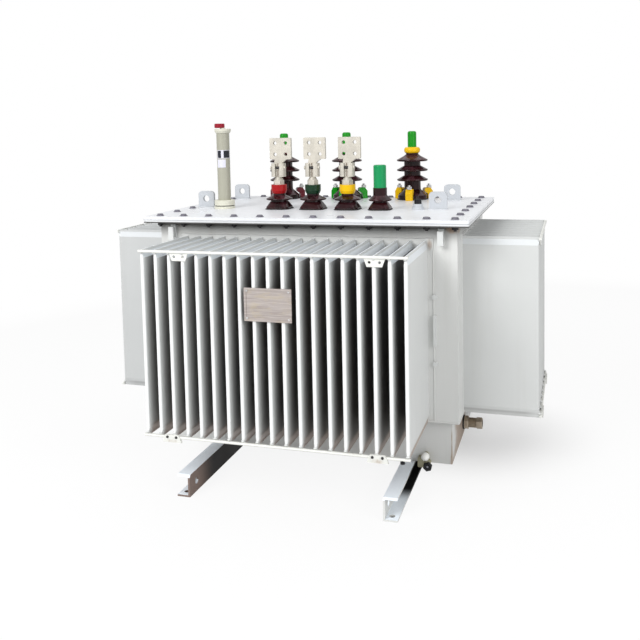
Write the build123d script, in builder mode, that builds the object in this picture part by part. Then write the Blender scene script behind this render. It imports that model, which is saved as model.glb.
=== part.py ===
"""Oil-filled distribution transformer with corrugated fin cooling.

Right-handed frame in millimetres: +X to the right along the long side, +Y to the
back, +Z up.  The origin is on the floor under the middle of the tank, so the
skids stand on z = 0.  The high-voltage row of bushings is at the back.
"""
import os

from build123d import *

# Skids under the tank
SKID_HEIGHT = 70.0
SKID_FLANGE = 43.0
SKID_WALL = 6.0
SKID_LENGTH = 1244.0
SKID_WEB_SPACING = 616.0
SKID_OFFSET = 9.5
SKID_END_CUT = 8.0
SKID_HOLE_GAUGE = 660.0
SKID_HOLE_R = 9.0
SKID_HOLE_EDGE = 26.0
WEB_HOLE_R = 11.0
WEB_HOLE_EDGE = 50.0

# Tank
TANK_LENGTH = 1008.0
TANK_DEPTH = 724.0
SKIRT_INSET = 25.0
LEDGE_Z = 210.0
COVER_TOP = 856.0
COVER_THICK = 9.0
GASKET_THICK = 3.0
FLANGE_THICK = 9.0
COVER_SIDE_OVERHANG = 41.0
COVER_FRONT_OVERHANG = 49.0
GASKET_MARGIN = 1.5
PLATE_CORNER_R = 6.0

# Corrugated fins
FIN_THICK = 12.0
FIN_SEAM_THICK = 3.0
FIN_SEAM_HEIGHT = 8.0
FIN_TAPER_HEIGHT = 18.0
FIN_BOTTOM = LEDGE_Z
FIN_TOP = 788.0
FRONT_FIN_COUNT = 19
FRONT_FIN_MARGIN = 93.0
FRONT_FIN_PITCH = (TANK_LENGTH - 2 * FRONT_FIN_MARGIN - FIN_THICK) / (FRONT_FIN_COUNT - 1)
FRONT_FIN_DEPTH = 317.5
SIDE_FIN_COUNT = 9
SIDE_FIN_MARGIN = 118.8
SIDE_FIN_PITCH = (TANK_DEPTH - 2 * SIDE_FIN_MARGIN - FIN_THICK) / (SIDE_FIN_COUNT - 1)
SIDE_FIN_DEPTH = 238.0

# Bars that tie the fin tips together, with their two-hole clips
BAR_SIZE = 8.0
BAR_END_OVERHANG = 2.0
BAR_INSET = 1.0
CLIP_WIDTH = 64.0
CLIP_TOP_WIDTH = 44.0
CLIP_HEIGHT = 27.0
CLIP_THICK = 3.0
CLIP_HOLE_R = 4.0
CLIP_HOLE_SPACING = 29.0
CLIP_HOLE_DROP = 14.0
FOOT_CLIP_RISE = 9.0
FOOT_CLIP_DROP = 14.0
TOP_CLIP_LEFT = -280.0
TOP_CLIP_RIGHT = 318.0
FOOT_CLIP_LEFT = -318.0
FOOT_CLIP_RIGHT = 320.0
SIDE_CLIP_Y = 178.0

# Blank rating plate
NAMEPLATE_LENGTH = 146.0
NAMEPLATE_HEIGHT = 98.0
NAMEPLATE_Z = 635.0
NAMEPLATE_THICK = 4.0
NAMEPLATE_RIM = 7.0
NAMEPLATE_RECESS = 1.5

# Small pieces on the tank wall
HOOK_EDGE = 49.0
HOOK_TOP = 826.0
HOOK_HEIGHT = 50.0
HOOK_WIDTH = 18.0
HOOK_REACH = 28.0
HOOK_NOSE = 44.0
HOOK_PLATE = 8.0
HANDLE_EDGE = 71.0
HANDLE_Z = 506.0
HANDLE_LENGTH = 98.0
HANDLE_WIDTH = 10.0
HANDLE_THICK = 10.0
BOSS_R = 8.0
BOSS_HEIGHT = 8.0
BOSS_SPACING = 212.0

# Lifting lugs on the cover
LUG_WIDTH = 62.0
LUG_HEIGHT = 60.0
LUG_THICK = 12.0
LUG_CORNER_R = 14.0
LUG_HOLE_R = 12.0
LUG_HOLE_Z = 32.0
LUG_LEFT_EDGE = 39.0
LUG_RIGHT_EDGE = 104.0
LUG_BACK_EDGE = 88.0
LUG_SPACING = 347.0
LUG_LEFT_X = LUG_LEFT_EDGE - TANK_LENGTH / 2
LUG_RIGHT_X = TANK_LENGTH / 2 - LUG_RIGHT_EDGE
LUG_BACK_Y = TANK_DEPTH / 2 - LUG_BACK_EDGE
LUG_FRONT_Y = LUG_BACK_Y - LUG_SPACING

# High-voltage bushings
HV_BACK_EDGE = 62.0
HV_Y = TANK_DEPTH / 2 - HV_BACK_EDGE
HV_MIDDLE_X = -22.5
HV_PITCH = 264.0
HV_BASE_R = 57.0
HV_BASE_HEIGHT = 17.0
HV_BASE_SLOPE = 23.0
HV_CORE_R = 32.0
HV_SHED_R = 60.0
HV_SHED_LIP_R = 4.0
HV_SHED_RISE = 17.0
HV_SHED_HEIGHTS = (77.0, 115.0, 153.0)
HV_NECK_R = 24.5
HV_BODY_HEIGHT = 180.0
HV_RING_R = 31.0
HV_RING_HEIGHT = 24.0
HV_RING_ROUND = 10.0
HV_CAP_R = 17.0
HV_CAP_HEIGHT = 62.0
HV_CAP_ROUND = 8.0

# Claws that hold down the high-voltage bushings, each a leg beside the foot and a nose over it
CLAW_COUNT = 3
CLAW_FIRST_ANGLE = -90.0
CLAW_GAP = 3.0
CLAW_LEG = 20.0
CLAW_LEG_HEIGHT = 30.0
CLAW_NOSE = 11.0
CLAW_NOSE_HEIGHT = 8.5
CLAW_TOP = 44.0
CLAW_TOP_SLOPE = 10.0
CLAW_WIDTH = 26.0
CLAW_ROUND = 2.0

# Low-voltage bushings
LV_ROW_GAP = 407.0
LV_Y = HV_Y - LV_ROW_GAP
LV_MIDDLE_X = -38.0
LV_PITCH = 127.0
LV_BASE_WIDTH = 84.0
LV_BASE_CORNER_R = 22.0
LV_BASE_FOOT = 8.0
LV_BASE_HEIGHT = 27.0
LV_GROOVE_R = 31.0
LV_SHED_Z = 33.0
LV_SHED_R = 47.0
LV_SHED_LIP_R = 3.0
LV_SHED_TOP = 50.0
LV_NECK_R = 22.0
LV_BODY_HEIGHT = 56.0
LV_RING_R = 28.0
LV_RING_FOOT_R = 24.0
LV_RING_FOOT = 10.0
LV_RING_HEIGHT = 31.0
LV_NUT_R = 20.0
LV_NUT_HEIGHT = 16.0
LV_STUD_R = 8.0
LV_STUD_GAP = 12.0
LV_CONE_R = 17.0
LV_CONE_TOP_R = 10.0
LV_CLAMP_WIDTH = 48.0
LV_CLAMP_DEPTH = 34.0
LV_CLAMP_SLOT = 16.5
LV_CLAMP_HEIGHT = 48.0
PALM_OFFSET = 9.5
PALM_NECK_WIDTH = 28.0
PALM_NECK_HEIGHT = 14.0
PALM_SHOULDER = 8.0
PALM_WIDTH = 80.0
PALM_HEIGHT = 76.0
PALM_THICK = 12.0
PALM_CORNER_R = 4.0
PALM_HOLE_R = 6.5
PALM_HOLE_SPACING = 40.0

# Neutral bushing
NEUTRAL_X = 205.0
NEUTRAL_BASE_WIDTH = 74.0
NEUTRAL_BASE_CORNER_R = 20.0
NEUTRAL_GROOVE_R = 25.0
NEUTRAL_SHED_Z = 31.0
NEUTRAL_SHED_R = 40.0
NEUTRAL_SHED_TOP = 50.0
NEUTRAL_NECK_R = 24.0
NEUTRAL_BODY_HEIGHT = 76.0
NEUTRAL_CAP_R = 22.0
NEUTRAL_CAP_HEIGHT = 79.0
NEUTRAL_CAP_ROUND = 5.0

# Oil level gauge
GAUGE_EDGE = 126.0
GAUGE_X = GAUGE_EDGE - TANK_LENGTH / 2
GAUGE_Y = LV_Y
GAUGE_FOOT_R = 38.0
GAUGE_FOOT_HEIGHT = 9.0
GAUGE_SEAL_R = 34.0
GAUGE_SEAL_HEIGHT = 3.0
GAUGE_BASE_R = 37.0
GAUGE_BASE_HEIGHT = 19.0
GAUGE_TUBE_R = 23.5
GAUGE_TUBE_HEIGHT = 243.0
GAUGE_COLLAR_R = 29.5
GAUGE_COLLAR_FLARE = 7.0
GAUGE_COLLAR_HEIGHT = 16.0
GAUGE_STEM_R = 9.0
GAUGE_STEM_HEIGHT = 3.0
GAUGE_KNOB_OFFSET = -12.0
GAUGE_KNOB_R = 18.5
GAUGE_KNOB_HEIGHT = 16.0
GAUGE_EDGE = 2.0

# Thermometer pocket
POCKET_EDGE = 170.0
POCKET_BACK_OFFSET = 13.0
POCKET_X = TANK_LENGTH / 2 - POCKET_EDGE
POCKET_Y = LV_Y + POCKET_BACK_OFFSET
POCKET_FOOT_R = 20.5
POCKET_FOOT_HEIGHT = 10.0
POCKET_BASE_R = 16.5
POCKET_BASE_HEIGHT = 20.0
POCKET_CAP_R = 12.5
POCKET_CAP_HEIGHT = 16.0

# Drain valve on the right side of the skirt
VALVE_Y = -64.0
VALVE_Z = 112.0
VALVE_FLANGE_R = 22.0
VALVE_FLANGE_THICK = 10.0
VALVE_BODY_R = 16.0
VALVE_BODY_LENGTH = 46.0
VALVE_PLUG_R = 12.0
VALVE_PLUG_LENGTH = 10.0

# Oil sampling valve at the foot of the front of the skirt: body, spindle boss and outlet
SAMPLER_EDGE = 96.0
SAMPLER_Z = 76.0
SAMPLER_WIDTH = 22.0
SAMPLER_HEIGHT = 32.0
SAMPLER_DEPTH = 22.0
SAMPLER_ROUND = 3.0
SPINDLE_SHIFT = 14.0
SPINDLE_RISE = 21.0
SPINDLE_R = 8.0
SPINDLE_LENGTH = 26.0
OUTLET_SHIFT = 19.0
OUTLET_DROP = 3.0
OUTLET_R = 10.0
OUTLET_LENGTH = 34.0

# Sizes that follow from the ones above
SKID_HOLE_SPACING = SKID_LENGTH - 2 * SKID_HOLE_EDGE
WEB_HOLE_SPACING = SKID_LENGTH - 2 * WEB_HOLE_EDGE
WALL_X = TANK_LENGTH / 2
WALL_Y = TANK_DEPTH / 2
SKIRT_X = WALL_X - SKIRT_INSET
SKIRT_Y = WALL_Y - SKIRT_INSET
COVER_LENGTH = TANK_LENGTH + 2 * COVER_SIDE_OVERHANG
COVER_DEPTH = TANK_DEPTH + 2 * COVER_FRONT_OVERHANG
HOOK_X = WALL_X - HOOK_EDGE
HANDLE_X = WALL_X - HANDLE_EDGE
SAMPLER_X = SKIRT_X - SAMPLER_EDGE
GASKET_TOP = COVER_TOP - COVER_THICK
FLANGE_TOP = GASKET_TOP - GASKET_THICK
FRONT_TIP_Y = WALL_Y + FRONT_FIN_DEPTH
SIDE_TIP_X = WALL_X + SIDE_FIN_DEPTH
FRONT_FIN_X = [FRONT_FIN_PITCH * (i - (FRONT_FIN_COUNT - 1) / 2) for i in range(FRONT_FIN_COUNT)]
SIDE_FIN_Y = [SIDE_FIN_PITCH * (i - (SIDE_FIN_COUNT - 1) / 2) for i in range(SIDE_FIN_COUNT)]
HV_X = [HV_MIDDLE_X + HV_PITCH * k for k in (-1, 0, 1)]
LV_X = [LV_MIDDLE_X + LV_PITCH * k for k in (-1, 0, 1)]

os.makedirs("parts", exist_ok=True)


def save(piece, name):
    """Labels a piece and writes it to its own file."""
    piece.part.label = name
    export_step(piece.part, f"parts/{name}.step")


def box_between(name, low, high, corner=0.0):
    """Saves a plain block between two opposite corners, with rounded upright edges if asked."""
    size = [b - a for a, b in zip(low, high)]
    middle = [(a + b) / 2 for a, b in zip(low, high)]
    with BuildPart() as block:
        with BuildSketch(Plane.XY.offset(low[2])):
            with Locations((middle[0], middle[1])):
                if corner > 0:
                    RectangleRounded(size[0], size[1], corner)
                else:
                    Rectangle(size[0], size[1])
        extrude(amount=size[2])
    save(block, name)


def turned(points, x, y):
    """Turns a closed outline of (radius, height above the cover) about an upright axis at x, y."""
    with BuildPart() as blank:
        with BuildSketch(Plane.XZ):
            with BuildLine():
                Polyline(*points, close=True)
            make_face()
        revolve(axis=Axis.Z)
    with BuildPart() as piece:
        with Locations((x, y, COVER_TOP)):
            add(blank.part)
    return piece


# Tank: a closed block, since the oil and windings fill it, with the skirt set in at the foot
with BuildPart() as tank_body:
    with BuildSketch(Plane.XY.offset(SKID_HEIGHT)):
        Rectangle(2 * SKIRT_X, 2 * SKIRT_Y)
    extrude(amount=LEDGE_Z - SKID_HEIGHT)
    with BuildSketch(Plane.XY.offset(LEDGE_Z)):
        Rectangle(TANK_LENGTH, TANK_DEPTH)
    extrude(amount=FLANGE_TOP - LEDGE_Z)
save(tank_body, "tank_body")

# Flange round the top of the tank, outside the walls
with BuildPart() as tank_flange:
    with BuildSketch(Plane.XY.offset(FLANGE_TOP - FLANGE_THICK)):
        RectangleRounded(COVER_LENGTH, COVER_DEPTH, PLATE_CORNER_R)
        Rectangle(TANK_LENGTH, TANK_DEPTH, mode=Mode.SUBTRACT)
    extrude(amount=FLANGE_THICK)
save(tank_flange, "tank_flange")

gasket_x = COVER_LENGTH / 2 - GASKET_MARGIN
gasket_y = COVER_DEPTH / 2 - GASKET_MARGIN
box_between("cover_gasket", (-gasket_x, -gasket_y, FLANGE_TOP), (gasket_x, gasket_y, GASKET_TOP))
cover_x = COVER_LENGTH / 2
cover_y = COVER_DEPTH / 2
box_between("cover_plate", (-cover_x, -cover_y, GASKET_TOP), (cover_x, cover_y, COVER_TOP), PLATE_CORNER_R)


def fin(depth):
    """One hollow fin, its root at y = 0 and its round tip at y = -depth, pinched at both ends."""
    half = FIN_THICK / 2
    seam = FIN_SEAM_THICK / 2
    low = FIN_BOTTOM + FIN_SEAM_HEIGHT
    high = FIN_TOP - FIN_SEAM_HEIGHT
    outline = [
        (-seam, FIN_BOTTOM), (seam, FIN_BOTTOM), (seam, low), (half, low + FIN_TAPER_HEIGHT),
        (half, high - FIN_TAPER_HEIGHT), (seam, high), (seam, FIN_TOP), (-seam, FIN_TOP),
        (-seam, high), (-half, high - FIN_TAPER_HEIGHT), (-half, low + FIN_TAPER_HEIGHT), (-seam, low),
    ]
    with BuildPart() as body:
        with BuildSketch(Plane.XZ):
            with BuildLine():
                Polyline(*outline, close=True)
            make_face()
        extrude(amount=depth)
        with BuildSketch(Plane.XY.offset(FIN_BOTTOM)):
            with BuildLine():
                Polyline((-half, half - depth), (-half, 0), (half, 0), (half, half - depth))
                ThreePointArc((half, half - depth), (0, -depth), (-half, half - depth))
            make_face()
        extrude(amount=FIN_TOP - FIN_BOTTOM, mode=Mode.INTERSECT)
    return body.part


def fin_pack(name, depth, places):
    """Saves a row of fins, one at each place."""
    one = fin(depth)
    with BuildPart() as pack:
        with Locations(*places):
            add(one)
    save(pack, name)


fin_pack("fins_front", FRONT_FIN_DEPTH, [Location((x, -WALL_Y, 0)) for x in FRONT_FIN_X])
fin_pack("fins_back", FRONT_FIN_DEPTH, [Location((x, WALL_Y, 0), (0, 0, 180)) for x in FRONT_FIN_X])
fin_pack("fins_left", SIDE_FIN_DEPTH, [Location((-WALL_X, y, 0), (0, 0, -90)) for y in SIDE_FIN_Y])
fin_pack("fins_right", SIDE_FIN_DEPTH, [Location((WALL_X, y, 0), (0, 0, 90)) for y in SIDE_FIN_Y])


def clip_outline(place, low, high):
    """Four corners of a clip in the plane of the fin tips, its wide edge at height low."""
    return [
        (place - CLIP_WIDTH / 2, low),
        (place + CLIP_WIDTH / 2, low),
        (place + CLIP_TOP_WIDTH / 2, high),
        (place - CLIP_TOP_WIDTH / 2, high),
    ]


def tie_bar(half_length, clips, at_foot):
    """A bar along X at z = 0 with a flat back at y = 0; clips lie over its front at the foot, else hang from it."""
    half = BAR_SIZE / 2
    with BuildPart() as bar:
        with BuildSketch(Plane.YZ.offset(-half_length)):
            with BuildLine():
                Polyline((-half, half), (0, half), (0, -half), (-half, -half))
                ThreePointArc((-half, half), (-BAR_SIZE, 0), (-half, -half))
            make_face()
        extrude(amount=2 * half_length)
        for place in clips:
            if at_foot:
                with BuildSketch(Plane.XZ.offset(half)):
                    with BuildLine():
                        Polyline(*clip_outline(place, -FOOT_CLIP_DROP, FOOT_CLIP_RISE), close=True)
                    make_face()
                extrude(amount=half + CLIP_THICK)
            else:
                with BuildSketch(Plane.XZ):
                    with BuildLine():
                        Polyline(*clip_outline(place, 0, -CLIP_HEIGHT), close=True)
                    make_face()
                    with Locations((place, -CLIP_HOLE_DROP)):
                        with GridLocations(CLIP_HOLE_SPACING, 1, 2, 1):
                            Circle(CLIP_HOLE_R, mode=Mode.SUBTRACT)
                extrude(amount=CLIP_THICK)
    return bar.part


def tie_bars(name, half_length, top_clips, foot_clips, place, turn):
    """Saves the top and bottom bars of one pack; place is where the fin tips are."""
    top = tie_bar(half_length, top_clips, False)
    bottom = tie_bar(half_length, foot_clips, True)
    inset = BAR_SIZE / 2 + BAR_INSET
    with BuildPart() as pair:
        with Locations(Location((place[0], place[1], FIN_TOP - inset), (0, 0, turn))):
            add(top)
        with Locations(Location((place[0], place[1], FIN_BOTTOM + inset), (0, 0, turn))):
            add(bottom)
    save(pair, name)


front_reach = FRONT_FIN_X[-1] + FIN_THICK / 2 + BAR_END_OVERHANG
side_reach = SIDE_FIN_Y[-1] + FIN_THICK / 2 + BAR_END_OVERHANG
top_clips = (TOP_CLIP_LEFT, TOP_CLIP_RIGHT)
foot_clips = (FOOT_CLIP_LEFT, FOOT_CLIP_RIGHT)
side_clips = (-SIDE_CLIP_Y, SIDE_CLIP_Y)
tie_bars("tie_bars_front", front_reach, top_clips, foot_clips, (0, -FRONT_TIP_Y), 0)
tie_bars("tie_bars_back", front_reach, top_clips, foot_clips, (0, FRONT_TIP_Y), 180)
tie_bars("tie_bars_left", side_reach, side_clips, side_clips, (-SIDE_TIP_X, 0), -90)
tie_bars("tie_bars_right", side_reach, side_clips, side_clips, (SIDE_TIP_X, 0), 90)

# Blank rating plate on the front fins, with a raised rim
with BuildPart() as nameplate:
    with BuildSketch(Plane.XZ.offset(FRONT_TIP_Y)):
        with Locations((0, NAMEPLATE_Z)):
            Rectangle(NAMEPLATE_LENGTH, NAMEPLATE_HEIGHT)
    extrude(amount=NAMEPLATE_THICK)
    with BuildSketch(Plane.XZ.offset(FRONT_TIP_Y + NAMEPLATE_THICK)):
        with Locations((0, NAMEPLATE_Z)):
            Rectangle(NAMEPLATE_LENGTH - 2 * NAMEPLATE_RIM, NAMEPLATE_HEIGHT - 2 * NAMEPLATE_RIM)
    extrude(amount=-NAMEPLATE_RECESS, mode=Mode.SUBTRACT)
save(nameplate, "nameplate")


def hook():
    """A bent tie-down hook with its back on y = 0 and its top at z = 0, opening upward."""
    with BuildPart() as body:
        with BuildSketch(Plane.YZ.offset(-HOOK_WIDTH / 2)):
            with BuildLine():
                Polyline(
                    (0, 0),
                    (0, -HOOK_HEIGHT),
                    (-HOOK_REACH, -HOOK_HEIGHT),
                    (-HOOK_REACH, HOOK_NOSE - HOOK_HEIGHT),
                    (-HOOK_REACH + HOOK_PLATE, HOOK_NOSE - HOOK_HEIGHT),
                    (-HOOK_REACH + HOOK_PLATE, -HOOK_HEIGHT + HOOK_PLATE),
                    (-HOOK_PLATE, -HOOK_HEIGHT + HOOK_PLATE),
                    (-HOOK_PLATE, 0),
                    close=True,
                )
            make_face()
        extrude(amount=HOOK_WIDTH)
    return body.part


one_hook = hook()
hook_places = [Location((x, -WALL_Y, HOOK_TOP)) for x in (-HOOK_X, HOOK_X)]
hook_places += [Location((x, WALL_Y, HOOK_TOP), (0, 0, 180)) for x in (-HOOK_X, HOOK_X)]
with BuildPart() as tank_hooks:
    with Locations(*hook_places):
        add(one_hook)
save(tank_hooks, "tank_hooks")

# Upright bar between two round bosses, on the bare strip of the front wall
with BuildPart() as wall_bosses:
    with BuildSketch(Plane.XZ.offset(WALL_Y)):
        with Locations((HANDLE_X, HANDLE_Z)):
            Rectangle(HANDLE_WIDTH, HANDLE_LENGTH)
    extrude(amount=HANDLE_THICK)
    with BuildSketch(Plane.XZ.offset(WALL_Y)):
        with Locations((HANDLE_X, HANDLE_Z)):
            with GridLocations(1, BOSS_SPACING, 1, 2):
                Circle(BOSS_R)
    extrude(amount=BOSS_HEIGHT)
save(wall_bosses, "wall_bosses")

# Lifting lugs: plates that face the front, each with one hole
lug_places = [(x, y) for x in (LUG_LEFT_X, LUG_RIGHT_X) for y in (LUG_FRONT_Y, LUG_BACK_Y)]
with BuildPart() as one_lug:
    with BuildSketch(Plane.XZ.offset(-LUG_THICK / 2)):
        with BuildLine():
            Polyline((-LUG_WIDTH / 2, LUG_HEIGHT), (-LUG_WIDTH / 2, 0), (LUG_WIDTH / 2, 0), (LUG_WIDTH / 2, LUG_HEIGHT))
            Line((LUG_WIDTH / 2, LUG_HEIGHT), (-LUG_WIDTH / 2, LUG_HEIGHT))
        make_face()
        with Locations((0, LUG_HOLE_Z)):
            Circle(LUG_HOLE_R, mode=Mode.SUBTRACT)
    extrude(amount=LUG_THICK)
    upright = one_lug.edges().filter_by(Axis.Y).group_by(Axis.Z)[-1]
    fillet(upright, LUG_CORNER_R)
with BuildPart() as lifting_lugs:
    with Locations(*[Location((x, y, COVER_TOP)) for x, y in lug_places]):
        add(one_lug.part)
save(lifting_lugs, "lifting_lugs")

def placed(part, x, y):
    """Puts a piece made about the Z axis on the cover at x, y."""
    with BuildPart() as piece:
        with Locations((x, y, COVER_TOP)):
            add(part)
    return piece


# High-voltage bushing: one outline turned about its axis, three sheds with rounded lips
shed_x = HV_SHED_R - HV_SHED_LIP_R
with BuildPart() as hv_insulator:
    with BuildSketch(Plane.XZ):
        with BuildLine():
            foot = Polyline(
                (0, HV_BODY_HEIGHT),
                (0, 0),
                (HV_BASE_R, 0),
                (HV_BASE_R, HV_BASE_HEIGHT),
                (HV_CORE_R, HV_BASE_HEIGHT + HV_BASE_SLOPE),
            )
            last = foot @ 1
            for height in HV_SHED_HEIGHTS:
                under = Polyline(last, (HV_CORE_R, height - HV_SHED_LIP_R), (shed_x, height - HV_SHED_LIP_R))
                lip = ThreePointArc(under @ 1, (HV_SHED_R, height), (shed_x, height + HV_SHED_LIP_R))
                slope = Line(lip @ 1, (HV_CORE_R, height + HV_SHED_RISE))
                last = slope @ 1
            Polyline(last, (HV_NECK_R, HV_BODY_HEIGHT - HV_SHED_LIP_R), (HV_NECK_R, HV_BODY_HEIGHT), (0, HV_BODY_HEIGHT))
        make_face()
    revolve(axis=Axis.Z)

# Coloured ring at the top of each high-voltage bushing
with BuildPart() as hv_ring:
    with BuildSketch(Plane.XY.offset(HV_BODY_HEIGHT)):
        Circle(HV_RING_R)
    extrude(amount=HV_RING_HEIGHT)
    fillet(hv_ring.edges().filter_by(GeomType.CIRCLE), HV_RING_ROUND)

# Cap over the terminal
with BuildPart() as hv_cap:
    with BuildSketch(Plane.XY.offset(HV_BODY_HEIGHT + HV_RING_HEIGHT)):
        Circle(HV_CAP_R)
    extrude(amount=HV_CAP_HEIGHT)
    fillet(hv_cap.edges().filter_by(GeomType.CIRCLE).sort_by(Axis.Z)[-1], HV_CAP_ROUND)

# Claw: a leg beside the bushing's foot and a nose over the foot's slope, with rounded corners
claw_root = HV_BASE_R + CLAW_GAP
claw_tip = claw_root + CLAW_LEG
nose_tip = HV_BASE_R - CLAW_NOSE
nose_low = CLAW_TOP - CLAW_NOSE_HEIGHT - CLAW_NOSE / 2
with BuildPart() as claw:
    with BuildSketch(Plane.XZ.offset(-CLAW_WIDTH / 2)) as claw_face:
        with BuildLine():
            Polyline(
                (claw_root, 0),
                (claw_tip, 0),
                (claw_tip, CLAW_LEG_HEIGHT),
                (claw_tip - CLAW_TOP_SLOPE, CLAW_TOP),
                (nose_tip + CLAW_NOSE / 2, CLAW_TOP),
                (nose_tip, CLAW_TOP - CLAW_NOSE / 2),
                (nose_tip, nose_low),
                (claw_root, HV_BASE_HEIGHT + CLAW_GAP),
                close=True,
            )
        make_face()
        fillet(claw_face.vertices().group_by(Axis.Z)[1:], CLAW_ROUND)
    extrude(amount=CLAW_WIDTH)

# The ring and the claws of one phase share its colour, so they share a node
with BuildPart() as hv_phase:
    add(hv_ring.part)
    with PolarLocations(0, CLAW_COUNT, start_angle=CLAW_FIRST_ANGLE):
        add(claw.part)

for number, x in enumerate(HV_X, start=1):
    save(placed(hv_insulator.part, x, HV_Y), f"hv_insulator_{number}")
    save(placed(hv_phase.part, x, HV_Y), f"hv_phase_{number}")
with BuildPart() as hv_caps:
    with Locations(*[(x, HV_Y, COVER_TOP) for x in HV_X]):
        add(hv_cap.part)
save(hv_caps, "hv_caps")


def low_insulator(width, corner, groove, shed_z, shed_r, shed_top, neck, height):
    """A bushing on a square foot that slopes in to a round waist, one shed and a round neck."""
    lip_x = shed_r - LV_SHED_LIP_R
    with BuildPart() as body:
        with BuildSketch(Plane.XY):
            RectangleRounded(width, width, corner)
        extrude(amount=LV_BASE_FOOT)
        with BuildSketch(Plane.XY.offset(LV_BASE_FOOT)):
            RectangleRounded(width, width, corner)
        with BuildSketch(Plane.XY.offset(LV_BASE_HEIGHT)):
            RectangleRounded(2 * groove, 2 * groove, groove * 0.8)
        loft()
        with BuildSketch(Plane.XZ):
            with BuildLine():
                under = Polyline((0, LV_BASE_HEIGHT), (groove, LV_BASE_HEIGHT), (groove, shed_z), (lip_x, shed_z))
                lip = ThreePointArc(under @ 1, (shed_r, shed_z + LV_SHED_LIP_R), (lip_x, shed_z + 2 * LV_SHED_LIP_R))
                Polyline(lip @ 1, (neck, shed_top), (neck, height), (0, height), (0, LV_BASE_HEIGHT))
            make_face()
        revolve(axis=Axis.Z)
    return body.part


# Low-voltage bushings and the coloured ring at the neck of each
lv_insulator = low_insulator(
    LV_BASE_WIDTH, LV_BASE_CORNER_R, LV_GROOVE_R, LV_SHED_Z, LV_SHED_R, LV_SHED_TOP, LV_NECK_R, LV_BODY_HEIGHT
)
ring_top = LV_BODY_HEIGHT + LV_RING_HEIGHT
ring_foot = LV_BODY_HEIGHT + LV_RING_FOOT
lv_ring = [
    (0, LV_BODY_HEIGHT), (LV_RING_FOOT_R, LV_BODY_HEIGHT), (LV_RING_R, ring_foot), (LV_RING_R, ring_top), (0, ring_top)
]

# Low-voltage terminal: nut, stud, a clamp with a slot down its front and a flat palm
nut_top = ring_top + LV_NUT_HEIGHT
clamp_foot = nut_top + LV_STUD_GAP
clamp_top = clamp_foot + LV_CLAMP_HEIGHT
palm_foot = clamp_top + PALM_NECK_HEIGHT
palm_middle = palm_foot + PALM_HEIGHT / 2
with BuildPart() as lv_terminal:
    with BuildSketch(Plane.XY.offset(ring_top)):
        RegularPolygon(LV_NUT_R, 6)
    extrude(amount=LV_NUT_HEIGHT)
    with BuildSketch(Plane.XY.offset(nut_top)):
        Circle(LV_STUD_R)
    extrude(amount=clamp_top - nut_top)
    with BuildSketch(Plane.XY.offset(nut_top)):
        Circle(LV_CONE_R)
    with BuildSketch(Plane.XY.offset(clamp_foot)):
        Circle(LV_CONE_TOP_R)
    loft()
    with BuildSketch(Plane.XY.offset(clamp_foot)):
        RectangleRounded(LV_CLAMP_WIDTH, LV_CLAMP_DEPTH, LV_CLAMP_DEPTH / 4)
        with Locations((0, -LV_CLAMP_DEPTH / 2)):
            Rectangle(LV_CLAMP_SLOT, LV_CLAMP_DEPTH - 2 * LV_STUD_R, mode=Mode.SUBTRACT)
    extrude(amount=LV_CLAMP_HEIGHT)
    with BuildSketch(Plane.XZ.offset(-PALM_THICK / 2)):
        with BuildLine():
            Polyline(
                (-PALM_NECK_WIDTH / 2, clamp_top),
                (PALM_NECK_WIDTH / 2, clamp_top),
                (PALM_OFFSET + PALM_NECK_WIDTH / 2 + PALM_SHOULDER, palm_foot),
                (PALM_OFFSET - PALM_NECK_WIDTH / 2 - PALM_SHOULDER, palm_foot),
                close=True,
            )
        make_face()
        with Locations((PALM_OFFSET, palm_middle)):
            RectangleRounded(PALM_WIDTH, PALM_HEIGHT, PALM_CORNER_R)
            with GridLocations(PALM_HOLE_SPACING, PALM_HOLE_SPACING, 2, 2):
                Circle(PALM_HOLE_R, mode=Mode.SUBTRACT)
    extrude(amount=PALM_THICK)

for number, x in enumerate(LV_X, start=1):
    save(placed(lv_insulator, x, LV_Y), f"lv_insulator_{number}")
    save(turned(lv_ring, x, LV_Y), f"lv_ring_{number}")
    save(placed(lv_terminal.part, x, LV_Y), f"lv_terminal_{number}")

# Neutral bushing under a long cap
neutral_insulator = low_insulator(
    NEUTRAL_BASE_WIDTH, NEUTRAL_BASE_CORNER_R, NEUTRAL_GROOVE_R, NEUTRAL_SHED_Z,
    NEUTRAL_SHED_R, NEUTRAL_SHED_TOP, NEUTRAL_NECK_R, NEUTRAL_BODY_HEIGHT,
)
save(placed(neutral_insulator, NEUTRAL_X, LV_Y), "neutral_insulator")
with BuildPart() as neutral_cap:
    with BuildSketch(Plane.XY.offset(NEUTRAL_BODY_HEIGHT)):
        Circle(NEUTRAL_CAP_R)
    extrude(amount=NEUTRAL_CAP_HEIGHT)
    fillet(neutral_cap.edges().filter_by(GeomType.CIRCLE).sort_by(Axis.Z)[-1], NEUTRAL_CAP_ROUND)
save(placed(neutral_cap.part, NEUTRAL_X, LV_Y), "neutral_cap")

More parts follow.
